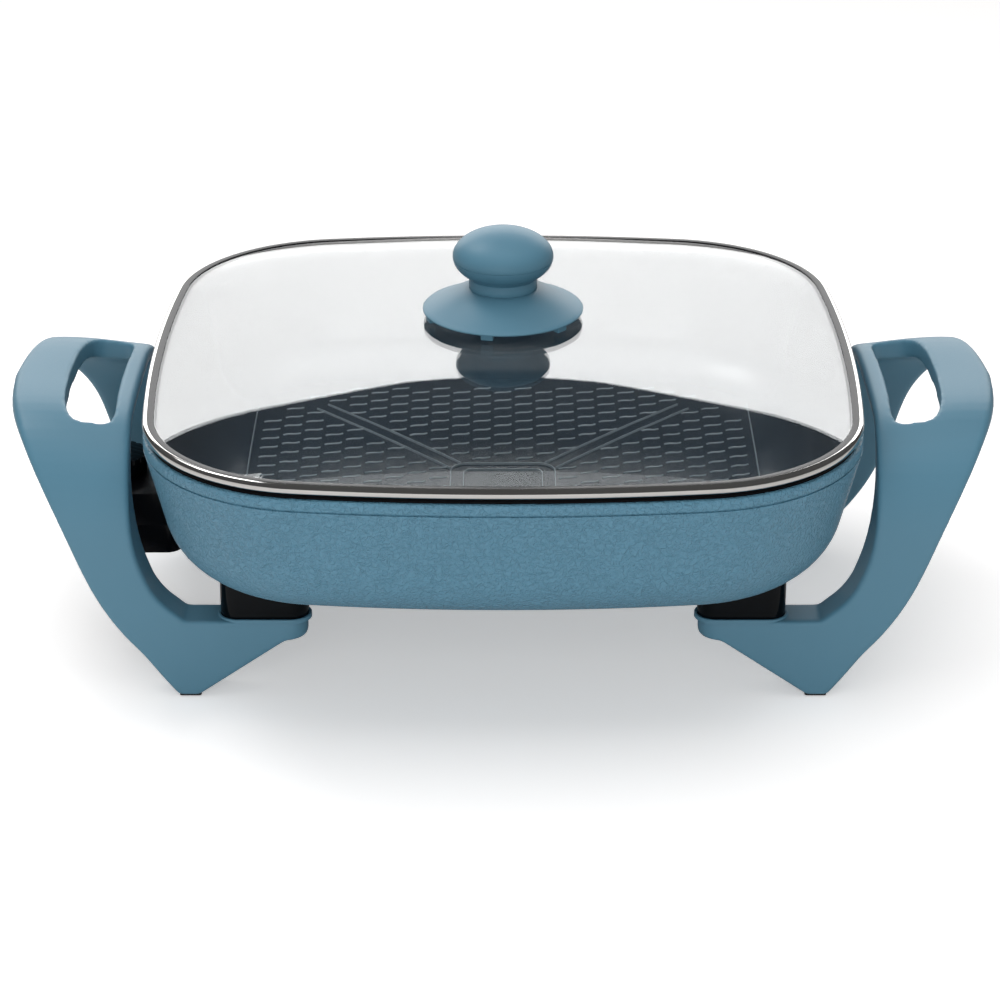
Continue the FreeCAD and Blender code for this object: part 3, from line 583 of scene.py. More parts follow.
def moulded(item: bpy.types.Object, cutter: bpy.types.Object, voxel_mm: float, passes: int,
            keep: float) -> bpy.types.Object:
    """Return a form with its openings cut and every edge softened as a moulding's are.

    Args:
        item: The closed form.
        cutter: Closed forms of all its openings, used up here.
        voxel_mm: Grid that the form is remade on.
        passes: Smoothing passes.
        keep: Share of faces kept at the end.

    Returns:
        The form, in place of the first one.
    """
    material = item.data.materials[0]
    modified(item, "BOOLEAN", operation="DIFFERENCE", solver="EXACT", object=cutter)
    modified(item, "REMESH", mode="VOXEL", voxel_size=voxel_mm * MM, use_smooth_shade=True)
    modified(item, "SMOOTH", factor=0.5, iterations=passes)
    modified(item, "DECIMATE", ratio=keep)
    item = baked(item)
    bpy.data.objects.remove(cutter)
    item.data.materials.clear()
    item.data.materials.append(material)
    item.data.shade_smooth()
    return item


def smooth_at(table: tuple[tuple[float, float], ...], place: float) -> float:
    """Return a smooth curve's value through a table of places and values.

    Args:
        table: Places in rising order, each with its value.
        place: Where the value is wanted.

    Returns:
        The value.
    """
    last = len(table) - 1
    if place <= table[0][0]:
        return table[0][1]
    if place >= table[last][0]:
        return table[last][1]
    n = max(k for k in range(last) if table[k][0] <= place)

    def tangent(k: int) -> float:
        """Return the curve's slope at a table entry.

        Args:
            k: The entry's number.

        Returns:
            The slope.
        """
        low, high = table[max(k - 1, 0)], table[min(k + 1, last)]
        return (high[1] - low[1]) / (high[0] - low[0])

    (x0, y0), (x1, y1) = table[n], table[n + 1]
    span = x1 - x0
    u = (place - x0) / span
    return ((2 * u ** 3 - 3 * u ** 2 + 1) * y0 + (u ** 3 - 2 * u ** 2 + u) * span * tangent(n)
            + (3 * u ** 2 - 2 * u ** 3) * y1 + (u ** 3 - u ** 2) * span * tangent(n + 1))


def rounded_plan(centre: tuple[float, float], half: tuple[float, float], corner: float,
                 level: float, steps: int = 6) -> list[Vector]:
    """Return a rounded rectangle's points.

    Args:
        centre: X and Y of its middle.
        half: Half its length along X and Y.
        corner: Corner radius.
        level: Height.
        steps: Steps per corner.

    Returns:
        The points, anticlockwise.
    """
    points = []
    for quarter, (sx, sy) in enumerate(((1, 1), (-1, 1), (-1, -1), (1, -1))):
        for k in range(steps + 1):
            angle = math.pi / 2 * (quarter + k / steps)
            points.append(Vector((centre[0] + sx * (half[0] - corner) + corner * math.cos(angle),
                                  centre[1] + sy * (half[1] - corner) + corner * math.sin(angle), level)))
    return points


@dataclass(frozen=True)
class PlanOutline:
    """Rounded square of pan and lid: four bowed sides joined by tangent corner arcs."""

    half: float = 156 * MM
    bow_side: float = 930 * MM
    bow_front: float = 683 * MM
    corner: float = 77.7 * MM
    steps: int = 24

    def centres(self) -> tuple[Vector, Vector, Vector]:
        """Return the centres of the side arc, the front arc and the corner arc of one quarter."""
        side, front = Vector((self.half - self.bow_side, 0)), Vector((0, self.half - self.bow_front))
        reach_a, reach_b = self.bow_side - self.corner, self.bow_front - self.corner
        span = front - side
        along = (reach_a ** 2 - reach_b ** 2 + span.length ** 2) / (2 * span.length)
        aside = math.sqrt(reach_a ** 2 - along ** 2)
        unit = span.normalized()
        return side, front, side + unit * along + Vector((-unit.y, unit.x)) * aside

    def ring(self, inset: float, level: float, share: float = 1.0) -> list[Vector]:
        """Return the outline's points, anticlockwise from above.

        Args:
            inset: Distance moved inwards.
            level: Height.
            share: Scale about the middle, applied after the inset.

        Returns:
            The points.
        """
        side, front, corner = self.centres()
        turn_side = math.atan2(corner.y - side.y, corner.x - side.x)
        turn_front = math.atan2(corner.y - front.y, corner.x - front.x)
        arcs = ((side, self.bow_side, 0.0, turn_side), (corner, self.corner, turn_side, turn_front),
                (front, self.bow_front, turn_front, math.pi / 2))
        quarter = []
        for centre, radius, start, stop in arcs:
            for k in range(self.steps):
                angle = start + (stop - start) * k / self.steps
                reach = Vector((math.cos(angle), math.sin(angle))) * (radius - inset)
                quarter.append((centre + reach) * share)
        top = [(0.0, (self.half - inset) * share)]
        right = [(p.x, p.y) for p in quarter]
        upper = right + top + [(-x, y) for x, y in reversed(right[1:])]
        whole = upper + [(-right[0][0], right[0][1])] + [(x, -y) for x, y in reversed(upper[1:])]
        return [Vector((x, y, level)) for x, y in whole]

    def rings(self, sections: list[Section]) -> Rings:
        """Return a ring for each section.

        Args:
            sections: Inset, level and share of each ring.

        Returns:
            The rings.
        """
        return [self.ring(inset, level, share) for inset, level, share in sections]

    def dome_ring(self, inset: float, level: float, share: float, round_power: float) -> list[Vector]:
        """Return a ring that turns from the outline's shape into a circle as its share falls.

        Args:
            inset: Distance moved inwards at full share.
            level: Height.
            share: Scale about the middle.
            round_power: How fast the ring turns round.

        Returns:
            The ring's points.
        """
        weight = share ** round_power
        half = self.half - inset
        ring = []
        for point in self.ring(inset, 0.0):
            scale = share * (weight + (1 - weight) * half / point.length)
            ring.append(Vector((point.x * scale, point.y * scale, level)))
        return ring


@dataclass
class Pan:
    """Cast pan: textured outside, coated inside, embossed floor."""

    palette: Palette
    outline: PlanOutline = field(default_factory=PlanOutline)
    bottom: float = 63.45 * MM
    wall: float = 4.5 * MM
    draft: float = math.radians(14.1)
    heel: float = 32.5 * MM
    body_top: float = 120.2 * MM
    rim_top: float = 125.6 * MM
    lip_top: float = 127.3 * MM
    lip_inset: float = 2.0 * MM
    groove: float = 0.7 * MM
    heel_steps: int = 14
    dash_pitch: float = 9.9 * MM
    field_half: float = 113 * MM
    square_half: float = 24 * MM
    rib_wide: float = 7 * MM
    rib_tall: float = 0.8 * MM
    line_wide: float = 0.9 * MM
    double_gap: float = 6 * MM
    border_reach: float = 117 * MM
    border_half: float = 100 * MM
    rib_start: float = 1.28
    rib_end: float = 122 * MM
    rib_clear: float = 0.85
    square_clear: float = 3 * MM
    field_power: float = 5.0
    dash_long: float = 7.9 * MM
    dash_thick: float = 0.44 * MM
    dash_wave: float = 1.1 * MM
    dash_lift: float = 0.1 * MM

    def heel_sections(self, wall: float) -> list[Section]:
        """Return sections from the flat bottom's edge round the heel to the wall.

        Args:
            wall: How far inside the outer skin they lie.

        Returns:
            The sections.
        """
        centre = self.bottom + self.heel
        tangent = centre - self.heel * math.sin(self.draft)
        flat = (self.body_top - tangent) * math.tan(self.draft) + self.heel * math.cos(self.draft)
        radius = self.heel - wall
        turns = [math.pi / 2 + (self.draft - math.pi / 2) * n / self.heel_steps
                 for n in range(self.heel_steps + 1)]
        return [(flat - radius * math.cos(t), centre - radius * math.sin(t), 1.0) for t in turns]

    def shell(self) -> bpy.types.Object:
        """Build the pan's one-piece shell and return it."""
        outer, inner = self.heel_sections(0), self.heel_sections(self.wall)
        soft = 0.5 * MM
        floor_level = inner[0][1]
        shares = (0.02, 0.35, 0.7, 0.95)
        under = [(outer[0][0], outer[0][1], s) for s in shares]
        wall = [(outer[-1][0] * (1 - k / 6), outer[-1][1] + (self.body_top - outer[-1][1]) * k / 6, 1.0)
                for k in range(1, 7)]
        rim = [(0, self.body_top, 1), (soft * 0.3, self.body_top + 0.1 * MM, 1),
               (self.groove, self.body_top + 0.15 * MM, 1), (self.groove, self.body_top + 0.65 * MM, 1),
               (soft * 0.3, self.body_top + 0.75 * MM, 1), (0, self.body_top + soft * 2, 1),
               (0, self.rim_top - soft * 2, 1), (soft * 0.3, self.rim_top - soft * 0.6, 1),
               (soft, self.rim_top, 1), (self.lip_inset - 0.1 * MM, self.rim_top, 1)]
        top_inset = self.wall / math.cos(self.draft)
        lip = [(self.lip_inset, self.rim_top, 1), (self.lip_inset, self.lip_top - soft, 1),
               (self.lip_inset + soft, self.lip_top, 1), (top_inset - soft, self.lip_top, 1),
               (top_inset, self.lip_top - soft, 1), (top_inset, self.body_top, 1)]
        floor = [(inner[0][0], floor_level, s) for s in reversed(shares)]
        coloured = under + outer + wall + rim
        sections = coloured + lip + list(reversed(inner)) + floor
        rings = self.outline.rings(sections)
        verts, faces = skin(rings)
        count = len(rings[0])
        edge = len(coloured)
        tiers = [n // count for n in range(len(faces) - 2)]
        slots = [0 if tier < edge - 1 else 2 if tier < edge + 3 else 1 for tier in tiers] + [0, 1]
        finishes = [self.palette.enamel, self.palette.nonstick, self.palette.satin]
        item = piece("pan_shell", verts, faces, finishes, slots)
        return tidy(item, 60)

    def ribs(self) -> bpy.types.Object:
        """Build the floor's double square, its four double ribs and its two border lines."""
        level, tall = self.bottom + self.wall, self.rib_tall
        foot, crest, sunk = self.line_wide / 2, self.line_wide / 5, 0.3 * MM
        shapes = []
        for reach, corner in ((self.square_half, 8 * MM), (self.square_half - self.double_gap, 4 * MM)):
            edges = ((foot, -sunk), (crest, tall), (-crest, tall), (-foot, -sunk))
            rings = [rounded_plan((0.0, 0.0), (reach + grow, reach + grow), corner + grow, level + lift)
                     for grow, lift in edges]
            shapes.append((rings, True))

        def bar(start: float, stop: float, y: float, turn: float) -> None:
            """Add one straight ridge along X, turned about the middle.

            Args:
                start: X of its first end.
                stop: X of its other end.
                y: Its distance from the X axis.
                turn: Angle about the middle in radians.
            """
            spin = Matrix.Rotation(turn, 3, "Z")
            rings = []
            for inset, side, lift in ((0.0, foot, -sunk), (self.line_wide / 3, crest, tall)):
                left, right = start + inset, stop - inset
                corners = ((left, y - side), (right, y - side), (right, y + side), (left, y + side))
                rings.append([spin @ Vector((*corner, level + lift)) for corner in corners])
            shapes.append((rings, False))

        for quarter in range(4):
            for side in (-1, 1):
                bar(self.square_half * self.rib_start, self.rib_end, side * self.rib_wide / 2,
                    math.pi / 4 + quarter * math.pi / 2)
        for turn in (math.pi / 2, math.pi * 3 / 2):
            bar(-self.border_half, self.border_half, self.border_reach, turn)
        # The ridges take the lighter slate copy, a painted highlight.
        return tidy(piece("floor_ribs", *gathered(shapes), [self.palette.rib]), 30)

    def dashes(self) -> bpy.types.Object:
        """Build the floor's field of short wavy dashes with geometry nodes and return it."""
        wiring, entry, leave = Wiring.group(
            "floor_dashes", "GeometryNodeTree",
            {"Pitch": self.dash_pitch, "Field half": self.field_half,
             "Square half": self.square_half + self.square_clear, "Rib half": self.rib_wide * self.rib_clear,
             "Level": self.bottom + self.wall + self.dash_lift, "Dash long": self.dash_long,
             "Dash thick": self.dash_thick}, {"Geometry": "Geometry"})
        add, calc, size = wiring.add, wiring.calc, entry.outputs
        pitch, field_half = size["Pitch"], size["Field half"]
        count = calc("ADD", calc("FLOOR", calc("DIVIDE", calc("MULTIPLY", field_half, 2), pitch)), 1)
        span = calc("MULTIPLY", calc("SUBTRACT", count, 1), pitch)
        grid = add("GeometryNodeMeshGrid", {"Size X": span, "Size Y": span, "Vertices X": count,
                                            "Vertices Y": count})
        place = add("ShaderNodeSeparateXYZ", {0: add("GeometryNodeInputPosition").outputs[0]}).outputs
        column = calc("ROUND", calc("DIVIDE", calc("ADD", place["X"], calc("DIVIDE", span, 2)), pitch))
        shift = calc("MULTIPLY", calc("MODULO", column, 2), calc("DIVIDE", pitch, 2))
        offset = add("ShaderNodeCombineXYZ", {"Y": shift, "Z": size["Level"]})
        move = add("GeometryNodeSetPosition", {"Geometry": grid.outputs["Mesh"], "Offset": offset.outputs[0]})
        across, along = calc("ABSOLUTE", place["X"]), calc("ABSOLUTE", place["Y"])
        powers = calc("ADD", calc("POWER", across, self.field_power), calc("POWER", along, self.field_power))
        outside = calc("GREATER_THAN", calc("POWER", powers, 1 / self.field_power), field_half)
        gap = calc("DIVIDE", calc("ABSOLUTE", calc("SUBTRACT", across, along)), math.sqrt(2))
        on_rib = calc("LESS_THAN", gap, size["Rib half"])
        on_square = calc("LESS_THAN", calc("MAXIMUM", across, along), size["Square half"])
        left_out = calc("MAXIMUM", outside, calc("MAXIMUM", on_rib, on_square))
        drop = add("GeometryNodeDeleteGeometry", {"Geometry": move.outputs[0], "Selection": left_out})
        half, wave = calc("DIVIDE", size["Dash long"], 2), self.dash_wave
        bends = (("Start", -1.0, -wave), ("Start Handle", -0.3, wave), ("End Handle", 0.3, -wave),
                 ("End", 1.0, wave))
        spots = {name: add("ShaderNodeCombineXYZ", {"X": calc("MULTIPLY", half, share), "Y": rise}).outputs[0]
                 for name, share, rise in bends}
        curve = add("GeometryNodeCurvePrimitiveBezierSegment", {"Resolution": 7, **spots})
        profile = add("GeometryNodeCurvePrimitiveCircle", {"Resolution": 6, "Radius": size["Dash thick"]})
        tube = add("GeometryNodeCurveToMesh", {"Fill Caps": True, "Curve": curve.outputs[0],
                                               "Profile Curve": profile.outputs[0]})
        # The dashes take the lighter slate copy, a painted highlight.
        item = wiring.scattered(leave, self.palette.rib, {"Points": drop.outputs[0],
                                                          "Instance": tube.outputs[0]})
        item = baked(item)
        item.data.shade_smooth()
        return item

    def underside(self) -> list[bpy.types.Object]:
        """Build the element casting and the probe's seat below the floor and return them."""
        level, radius, seat_radius = 57 * MM, 7 * MM, 6.4 * MM
        half, corner, mouth, turn = 72 * MM, 16 * MM, 13 * MM, 9 * MM
        start, seat_end = -116 * MM, -50 * MM
        path = [Vector((start, mouth, 0)), *self.bend((-half, mouth), turn, (-1, 0), (0, 1)),
                *self.bend((-half, half), corner, (0, -1), (1, 0)),
                *self.bend((half, half), corner, (-1, 0), (0, -1))]
        path += [Vector((p.x, -p.y, 0)) for p in reversed(path)]
        rings = []
        for n, point in enumerate(path):
            ahead = path[min(n + 1, len(path) - 1)] - path[max(n - 1, 0)]
            aside = Vector((-ahead.y, ahead.x, 0)).normalized()
            rings.append([point + Vector((0, 0, level)) + aside * radius * math.cos(a)
                          + Vector((0, 0, radius * math.sin(a))) for a in round_angles(12)])
        casting = tidy(piece("element_casting", *skin(rings), [self.palette.enamel]), 40)
        bar = [[Vector((x, seat_radius * math.cos(a), level + seat_radius * math.sin(a)))
                for a in round_angles(24)] for x in (start, seat_end)]
        seat = tidy(piece("probe_seat", *skin(bar), [self.palette.enamel]), 40)
        return [casting, seat]

    @staticmethod
    def bend(at: tuple[float, float], radius: float, back: tuple[int, int],
             on: tuple[int, int]) -> list[Vector]:
        """Return points round a square turn.

        Args:
            at: The corner.
            radius: The turn's radius.
            back: Unit step towards where the path comes from.
            on: Unit step towards where it goes.

        Returns:
            The points.
        """
        corner, before, after = Vector((*at, 0)), Vector((*back, 0)), Vector((*on, 0))
        centre = corner + (before + after) * radius
        return [centre - after * radius * math.cos(t) - before * radius * math.sin(t)
                for t in (math.pi / 2 * k / 8 for k in range(9))]

    def make(self) -> None:
        """Build the pan's pieces and seat them on the skillet's body."""
        shell = self.shell()
        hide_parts("skillet_pan")
        parts = [shell, self.ribs(), self.dashes(), *self.underside()]
        for item in parts:
            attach(item, Body.SKILLET.value)
            LOG.info("pan piece %s, %d faces", item.name, len(item.data.polygons))
        for item in parts[1:]:
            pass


@dataclass
class Lid:
    """Glass dome, polished rim band and two-part knob."""

    palette: Palette
    outline: PlanOutline = field(default_factory=PlanOutline)
    low: float = 127.6 * MM
    band_tall: float = 4.5 * MM
    band_wide: float = 5.0 * MM
    band_round: float = 2.0 * MM
    bead_wide: float = 0.35 * MM
    glass_thick: float = 3.5 * MM
    glass_edge: float = 1.2 * MM
    glass_sunk: float = 0.4 * MM
    crown: float = 149.0 * MM
    rim_fall: float = 4.6 * MM
    rim_power: float = 10.0
    round_power: float = 3.0
    crown_share: float = 0.985
    step_power: float = 1.7
    dome_steps: int = 40
    feet_turn: float = math.radians(18.2)

    def dome(self) -> bpy.types.Object:
        """Build the glass, one shell with a flange that runs smoothly into a shallow dome."""
        thick, flange = self.glass_thick, self.low + self.band_tall - self.glass_sunk
        edge, inner = self.glass_edge, self.band_wide + 0.3 * thick
        upper = [self.outline.ring(edge, flange)]
        lower = [self.outline.ring(edge, flange - thick)]
        base = self.crown - flange - self.rim_fall
        for n in range(self.dome_steps + 1):
            share = 1 - self.crown_share * (n / self.dome_steps) ** self.step_power
            level = self.crown - base * share ** 2 - self.rim_fall * share ** self.rim_power
            upper.append(self.outline.dome_ring(self.band_wide, level, share, self.round_power))
            lower.append(self.outline.dome_ring(inner, level - thick, share, self.round_power))
        item = piece("glass_dome", *skin(list(reversed(upper)) + lower), [self.palette.glass])
        return tidy(item, 50)

    def band(self) -> bpy.types.Object:
        """Build the rolled rim band, with satin black on its inner top, bead and inner face as painted shade
        and dark reflection, and return it.
        """
        high, wide, soft = self.low + self.band_tall, self.band_wide, self.band_round
        turns = [math.pi / 2 * k / 6 for k in range(7)]
        profile = [(wide, self.low)]
        profile += [(soft - soft * math.sin(a), self.low + soft - soft * math.cos(a)) for a in turns]
        profile += [(soft - soft * math.cos(a), high - soft + soft * math.sin(a)) for a in turns]
        profile += [(wide - self.bead_wide, high), (wide, high - 0.1 * MM)]
        rings = self.outline.rings([(inset, level, 1.0) for inset, level in profile])
        verts, faces = skin(rings, loop=True)
        # The last three tiers, the band's inner top, bead and inner face, take satin black: painted shade and
        # dark reflection where the steel band meets the glass.
        painted_shade_start = (len(rings) - 3) * len(rings[0])
        slots = [1 if n >= painted_shade_start else 0 for n in range(len(faces))]
        return tidy(piece("rim_band", verts, faces, [self.palette.steel, self.palette.satin], slots), 40)

    def knob(self) -> list[bpy.types.Object]:
        """Build the ball cap, the skirt and the skirt's feet and return them."""
        axis, low, lip, top = 0.05 * MM, 151.7 * MM, 35.5 * MM, 162.0 * MM
        skirt = [(axis, top), (15.4 * MM, top), (17.0 * MM, top - 0.5 * MM), (22 * MM, top - 2.9 * MM),
                 (28 * MM, top - 6.1 * MM), (33.4 * MM, low + 1.75 * MM), (34.9 * MM, low + 1.2 * MM),
                 (lip, low + 0.6 * MM), (lip, low + 0.15 * MM), (lip - 0.3 * MM, low),
                 (33.1 * MM, low), (33.0 * MM, low + 0.2 * MM), (27 * MM, low + 2.6 * MM),
                 (13 * MM, top - 3 * MM), (12.7 * MM, 150.1 * MM), (axis, 150.1 * MM)]
        centre, wide, tall, steps = top + 14.3 * MM, 22.2 * MM, 12.4 * MM, 33
        angles = [math.pi * k / steps - math.pi / 2 for k in range(3, steps)]
        ball = [(wide * math.cos(angle), centre + tall * math.sin(angle)) for angle in angles]
        neck = [(axis, top), (15.0 * MM, top), (15.1 * MM, top + 0.15 * MM), (15.1 * MM, top + 3.2 * MM),
                (14.7 * MM, top + 3.8 * MM), (14.6 * MM, top + 4.4 * MM)]
        split = centre - 1.4 * MM
        below = [(r, z) for r, z in ball if top + 4.8 * MM < z < split]
        above = [(r, z) for r, z in ball if z > split + 0.5 * MM] + [(axis, centre + tall)]
        brim = wide * math.sqrt(1 - ((split - centre) / tall) ** 2)
        seam = [(brim, split), (brim - 0.25 * MM, split + 0.12 * MM), (brim - 0.25 * MM, split + 0.3 * MM),
                (brim + 0.04 * MM, split + 0.42 * MM)]
        cap = lathe("knob_ball", neck + below + seam + above, self.palette.blue)
        body = lathe("knob_skirt_shell", skirt, self.palette.blue)
        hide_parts("knob_cap")
        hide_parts("knob_skirt")
        return [cap, body, self.feet()]

    def feet(self) -> bpy.types.Object:
        """Build the six spacer feet under the skirt with geometry nodes and return them."""
        wiring, entry, leave = Wiring.group(
            "skirt_feet", "GeometryNodeTree",
            {"Circle": 33.4 * MM, "Level": 150.6 * MM, "Tall": 2.4 * MM, "Wide": 5.4 * MM, "Deep": 2.8 * MM},
            {"Geometry": "Geometry"})
        add, size = wiring.add, entry.outputs
        ring = add("GeometryNodeMeshCircle", {"Vertices": 6, "Radius": size["Circle"]})
        lift = add("ShaderNodeCombineXYZ", {"Z": size["Level"]})
        turned = add("GeometryNodeTransform", {"Geometry": ring.outputs[0], "Translation": lift.outputs[0],
                                               "Rotation": (0, 0, self.feet_turn)})
        reach = add("ShaderNodeCombineXYZ", {"X": size["Deep"], "Y": size["Wide"], "Z": size["Tall"]})
        block = add("GeometryNodeMeshCube", {"Size": reach.outputs[0]})
        aim = add("FunctionNodeAlignRotationToVector",
                  {"Vector": add("GeometryNodeInputPosition").outputs[0]}, axis="X", pivot_axis="Z")
        item = wiring.scattered(leave, self.palette.blue, {
            "Points": turned.outputs[0], "Instance": block.outputs["Mesh"], "Rotation": aim.outputs[0]})
        modified(item, "BEVEL", width=0.3 * MM, segments=2)
        return baked(item)

    def make(self) -> None:
        """Build the lid's pieces and seat them on the lid's body."""
        dome, band, knob = self.dome(), self.band(), self.knob()
        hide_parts("lid_glass")
        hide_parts("lid_rim_band")
        for item in knob:
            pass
        for item in (dome, band, *knob):
            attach(item, Body.LID.value)
            LOG.info("lid piece %s, %d faces", item.name, len(item.data.polygons))


@dataclass(frozen=True)
class Station:
    """One cross-section of a handle's arch."""

    outer: tuple[float, float]
    inner: tuple[float, float]
    near: float
    far: float
    near_round: float
    far_round: float
    crowned: float


@dataclass
class Handles:
    """Two moulded saddle handles, each an arch over two legs, on glossy standoffs.

    The two edge tables give X in millimetres against the way along the arch's outer face from its middle.
    """

    frame: dict
    palette: Palette
    face: float = 80 * MM
    leg_thick: float = 19 * MM
    top: float = 120 * MM
    plate: float = 8 * MM
    bend: float = 42 * MM
    crown: float = 2.6 * MM
    crown_span: float = 0.95
    crown_shift: float = 0.28
    foot_low: float = 0.7 * MM
    tab_low: float = 26.8 * MM
    tab_top: float = 36.2 * MM
    tab_end: float = 85 * MM
    foot_near: float = 132.6 * MM
    hole_middle: float = 182 * MM
    hole_half: tuple[float, float] = (11.2 * MM, 48 * MM)
    hole_reach: tuple[float, float] = (90 * MM, 140 * MM)
    hole_power: float = 0.42
    hole_drift: float = 3.4 * MM
    well_start: float = 5 * MM
    washer_clear: float = 0.4 * MM
    post_place: tuple[float, float] = (104 * MM, 70.5 * MM)
    post_half: tuple[float, float] = (19.3 * MM, 8 * MM)
    voxel_mm: float = 0.85
    passes: int = 14
    keep: float = 0.3
    far_edge: tuple[tuple[float, float], ...] = (
        (0, 218), (19, 217.2), (38, 214.4), (60.6, 208.1), (76, 202), (85.7, 197.8), (104, 189.6),
        (124.3, 181.9), (140.2, 174), (152.6, 165.7), (162.5, 157.2), (173.8, 148.8), (181.3, 142.8))
    near_edge: tuple[tuple[float, float], ...] = (
        (0, 162.2), (38, 162), (66, 160.8), (103, 160.4), (115.9, 158.5), (125.4, 155.4), (136.6, 148.6),
        (145.8, 138))

    def near_at(self, level: float, way: float) -> float:
        """Return X of the inner edge, which steps in to the tab below the arch's inner curve.

        Args:
            level: Height on the leg.
            way: Way along the arch from its middle.

        Returns:
            X in metres.
        """
        if level > self.tab_top:
            return smooth_at(self.near_edge, way / MM) * MM
        if level > self.tab_low:
            share = abs(2 * (level - self.tab_low) / (self.tab_top - self.tab_low) - 1)
            return self.tab_end + 1.6 * MM * share ** 6
        slope = (self.foot_near - self.tab_end - 9.5 * MM) / (self.tab_low - self.foot_low)
        return self.foot_near - (level - self.foot_low) * slope

    def quarter(self) -> list[Station]:
        """Return the stations of half an arch, from a foot's sole to the arch's middle."""
        stations = []
        centre = (self.face - self.bend, self.top - self.bend)
        arc = self.bend * math.pi / 2
        inner_bend = self.bend - self.leg_thick
        inner_level = self.top - self.plate - inner_bend
        tab = [self.tab_low + share * (self.tab_top - self.tab_low)
               for share in (0.02, 0.08, 0.2, 0.5, 0.8, 0.92, 0.99)]
        foot = [self.foot_low + share * (self.tab_low - self.foot_low) for share in
                (0, 0.03, 0.1, 0.25, 0.4, 0.55, 0.7, 0.85, 0.99)]
        leg = [self.tab_top + 0.08 * MM + share * (centre[1] - self.tab_top) for share in
               (n / 14 for n in range(14))]
        for level in foot + tab + leg:
            way = centre[0] + arc + centre[1] - level
            on_tab = self.tab_low < level <= self.tab_top
            lift = max(0.0, (level - self.tab_top) / (centre[1] - self.tab_top)) ** 2
            stations.append(Station((self.face, level),
                                    (self.face - self.leg_thick, level + lift * (inner_level - centre[1])),
                                    self.near_at(level, way), smooth_at(self.far_edge, way / MM) * MM,
                                    9.3 * MM if on_tab else 2.0 * MM, 2.2 * MM, 0.0))
        for n in range(13):
            turn = math.pi / 2 * n / 12
            way = centre[0] + arc * (1 - n / 12)
            across, up = math.cos(turn), math.sin(turn)
            stations.append(Station((centre[0] + self.bend * across, centre[1] + self.bend * up),
                                    (centre[0] + inner_bend * across, inner_level + inner_bend * up),
                                    smooth_at(self.near_edge, way / MM) * MM,
                                    smooth_at(self.far_edge, way / MM) * MM,
                                    (2.0 + 1.4 * up) * MM, (2.2 + 1.6 * up) * MM, up ** 2))
        for n in range(1, 6):
            place = centre[0] * (1 - n / 5)
            stations.append(Station((place, self.top), (place, self.top - self.plate),
                                    smooth_at(self.near_edge, place / MM) * MM,
                                    smooth_at(self.far_edge, place / MM) * MM, 3.4 * MM, 3.8 * MM, 1.0))
        return self.relaxed(stations, len(foot) + len(tab) + 6)

    @staticmethod
    def relaxed(stations: list[Station], first: int) -> list[Station]:
        """Return the stations with the arch's bend eased into its straight stretches.

        Args:
            stations: Stations from a foot to the arch's middle.
            first: Number of the first one that may move.

        Returns:
            The eased stations.
        """
        for _ in range(8):
            eased_line = list(stations)
            for n in range(first, len(stations) - 1):
                low, here, high = stations[n - 1:n + 2]
                outer, inner = (tuple((a + 2 * b + c) / 4 for a, b, c in zip(*ends)) for ends in
                                ((low.outer, here.outer, high.outer), (low.inner, here.inner, high.inner)))
                eased_line[n] = replace(here, outer=outer, inner=inner,
                                        near=(low.near + 2 * here.near + high.near) / 4,
                                        far=(low.far + 2 * here.far + high.far) / 4)
            stations = eased_line
        return stations

    def section(self, station: Station, hand: int, end: int) -> list[Vector]:
        """Return the ring of points of one station.

        Args:
            station: The station.
            hand: 1 for the right handle, -1 for the left.
            end: 1 for the rear half of the arch, -1 for the front half.

        Returns:
            The points.
        """
        outer = Vector((0, end * station.outer[0], station.outer[1]))
        inner = Vector((0, end * station.inner[0], station.inner[1]))
        thick, wide = (outer - inner).length, station.far - station.near
        normal = (outer - inner).normalized()
        fit = 0.49 * min(thick, wide)
        near, far = min(station.near_round, fit), min(station.far_round, fit)
        run = wide - (near + far)
        turns = [(math.sin(a), math.cos(a)) for a in (math.pi / 2 * k / 6 for k in range(6))]
        marks = [(station.near + near + run * k / 8, 0.0) for k in range(9)]
        marks += [(station.far - far * (1 - s), far * (1 - c)) for s, c in turns[1:]]
        marks += [(station.far - far * (1 - c), thick - far * (1 - s)) for s, c in turns]
        marks += [(station.far - far - run * k / 8, thick) for k in range(9)]
        marks += [(station.near + near * (1 - s), thick - near * (1 - c)) for s, c in turns[1:]]
        marks += [(station.near + near * (1 - c), near * (1 - s)) for s, c in turns]
        ring = []
        for x, depth in marks:
            wave = math.pi * (self.crown_span * (x - station.near) / wide - self.crown_shift)
            bulge = self.crown * station.crowned * math.sin(wave)
            point = outer - normal * (depth - bulge * (1 - 0.5 * depth / thick))
            ring.append(Vector((hand * x, point.y, point.z)))
        return ring

    def form(self, hand: int) -> bpy.types.Object:
        """Return one handle's closed form before its openings are cut.

        Args:
            hand: 1 for the right handle, -1 for the left.

        Returns:
            The form.
        """
        half = self.quarter()
        rings = [self.section(station, hand, -1) for station in half]
        rings += [self.section(station, hand, 1) for station in reversed(half[:-1])]
        name = "handle_right_form" if hand > 0 else "handle_left_form"
        return tidy(piece(name, *skin(rings), [self.palette.blue]), 60)

    def hole_plan(self, hand: int, level: float) -> list[Vector]:
        """Return the finger hole's plan, an oblong that follows the handle's outer edge.

        Args:
            hand: 1 for the right handle, -1 for the left.
            level: Height.

        Returns:
            The points.
        """
        points = []
        for k in range(56):
            turn = 2 * math.pi * k / 56
            across = math.copysign(abs(math.cos(turn)) ** self.hole_power, math.cos(turn))
            along = math.copysign(abs(math.sin(turn)) ** self.hole_power, math.sin(turn))
            x = self.hole_middle + self.hole_half[0] * across - self.hole_drift * along ** 2
            points.append(Vector((hand * x, self.hole_half[1] * along, level)))
        return points

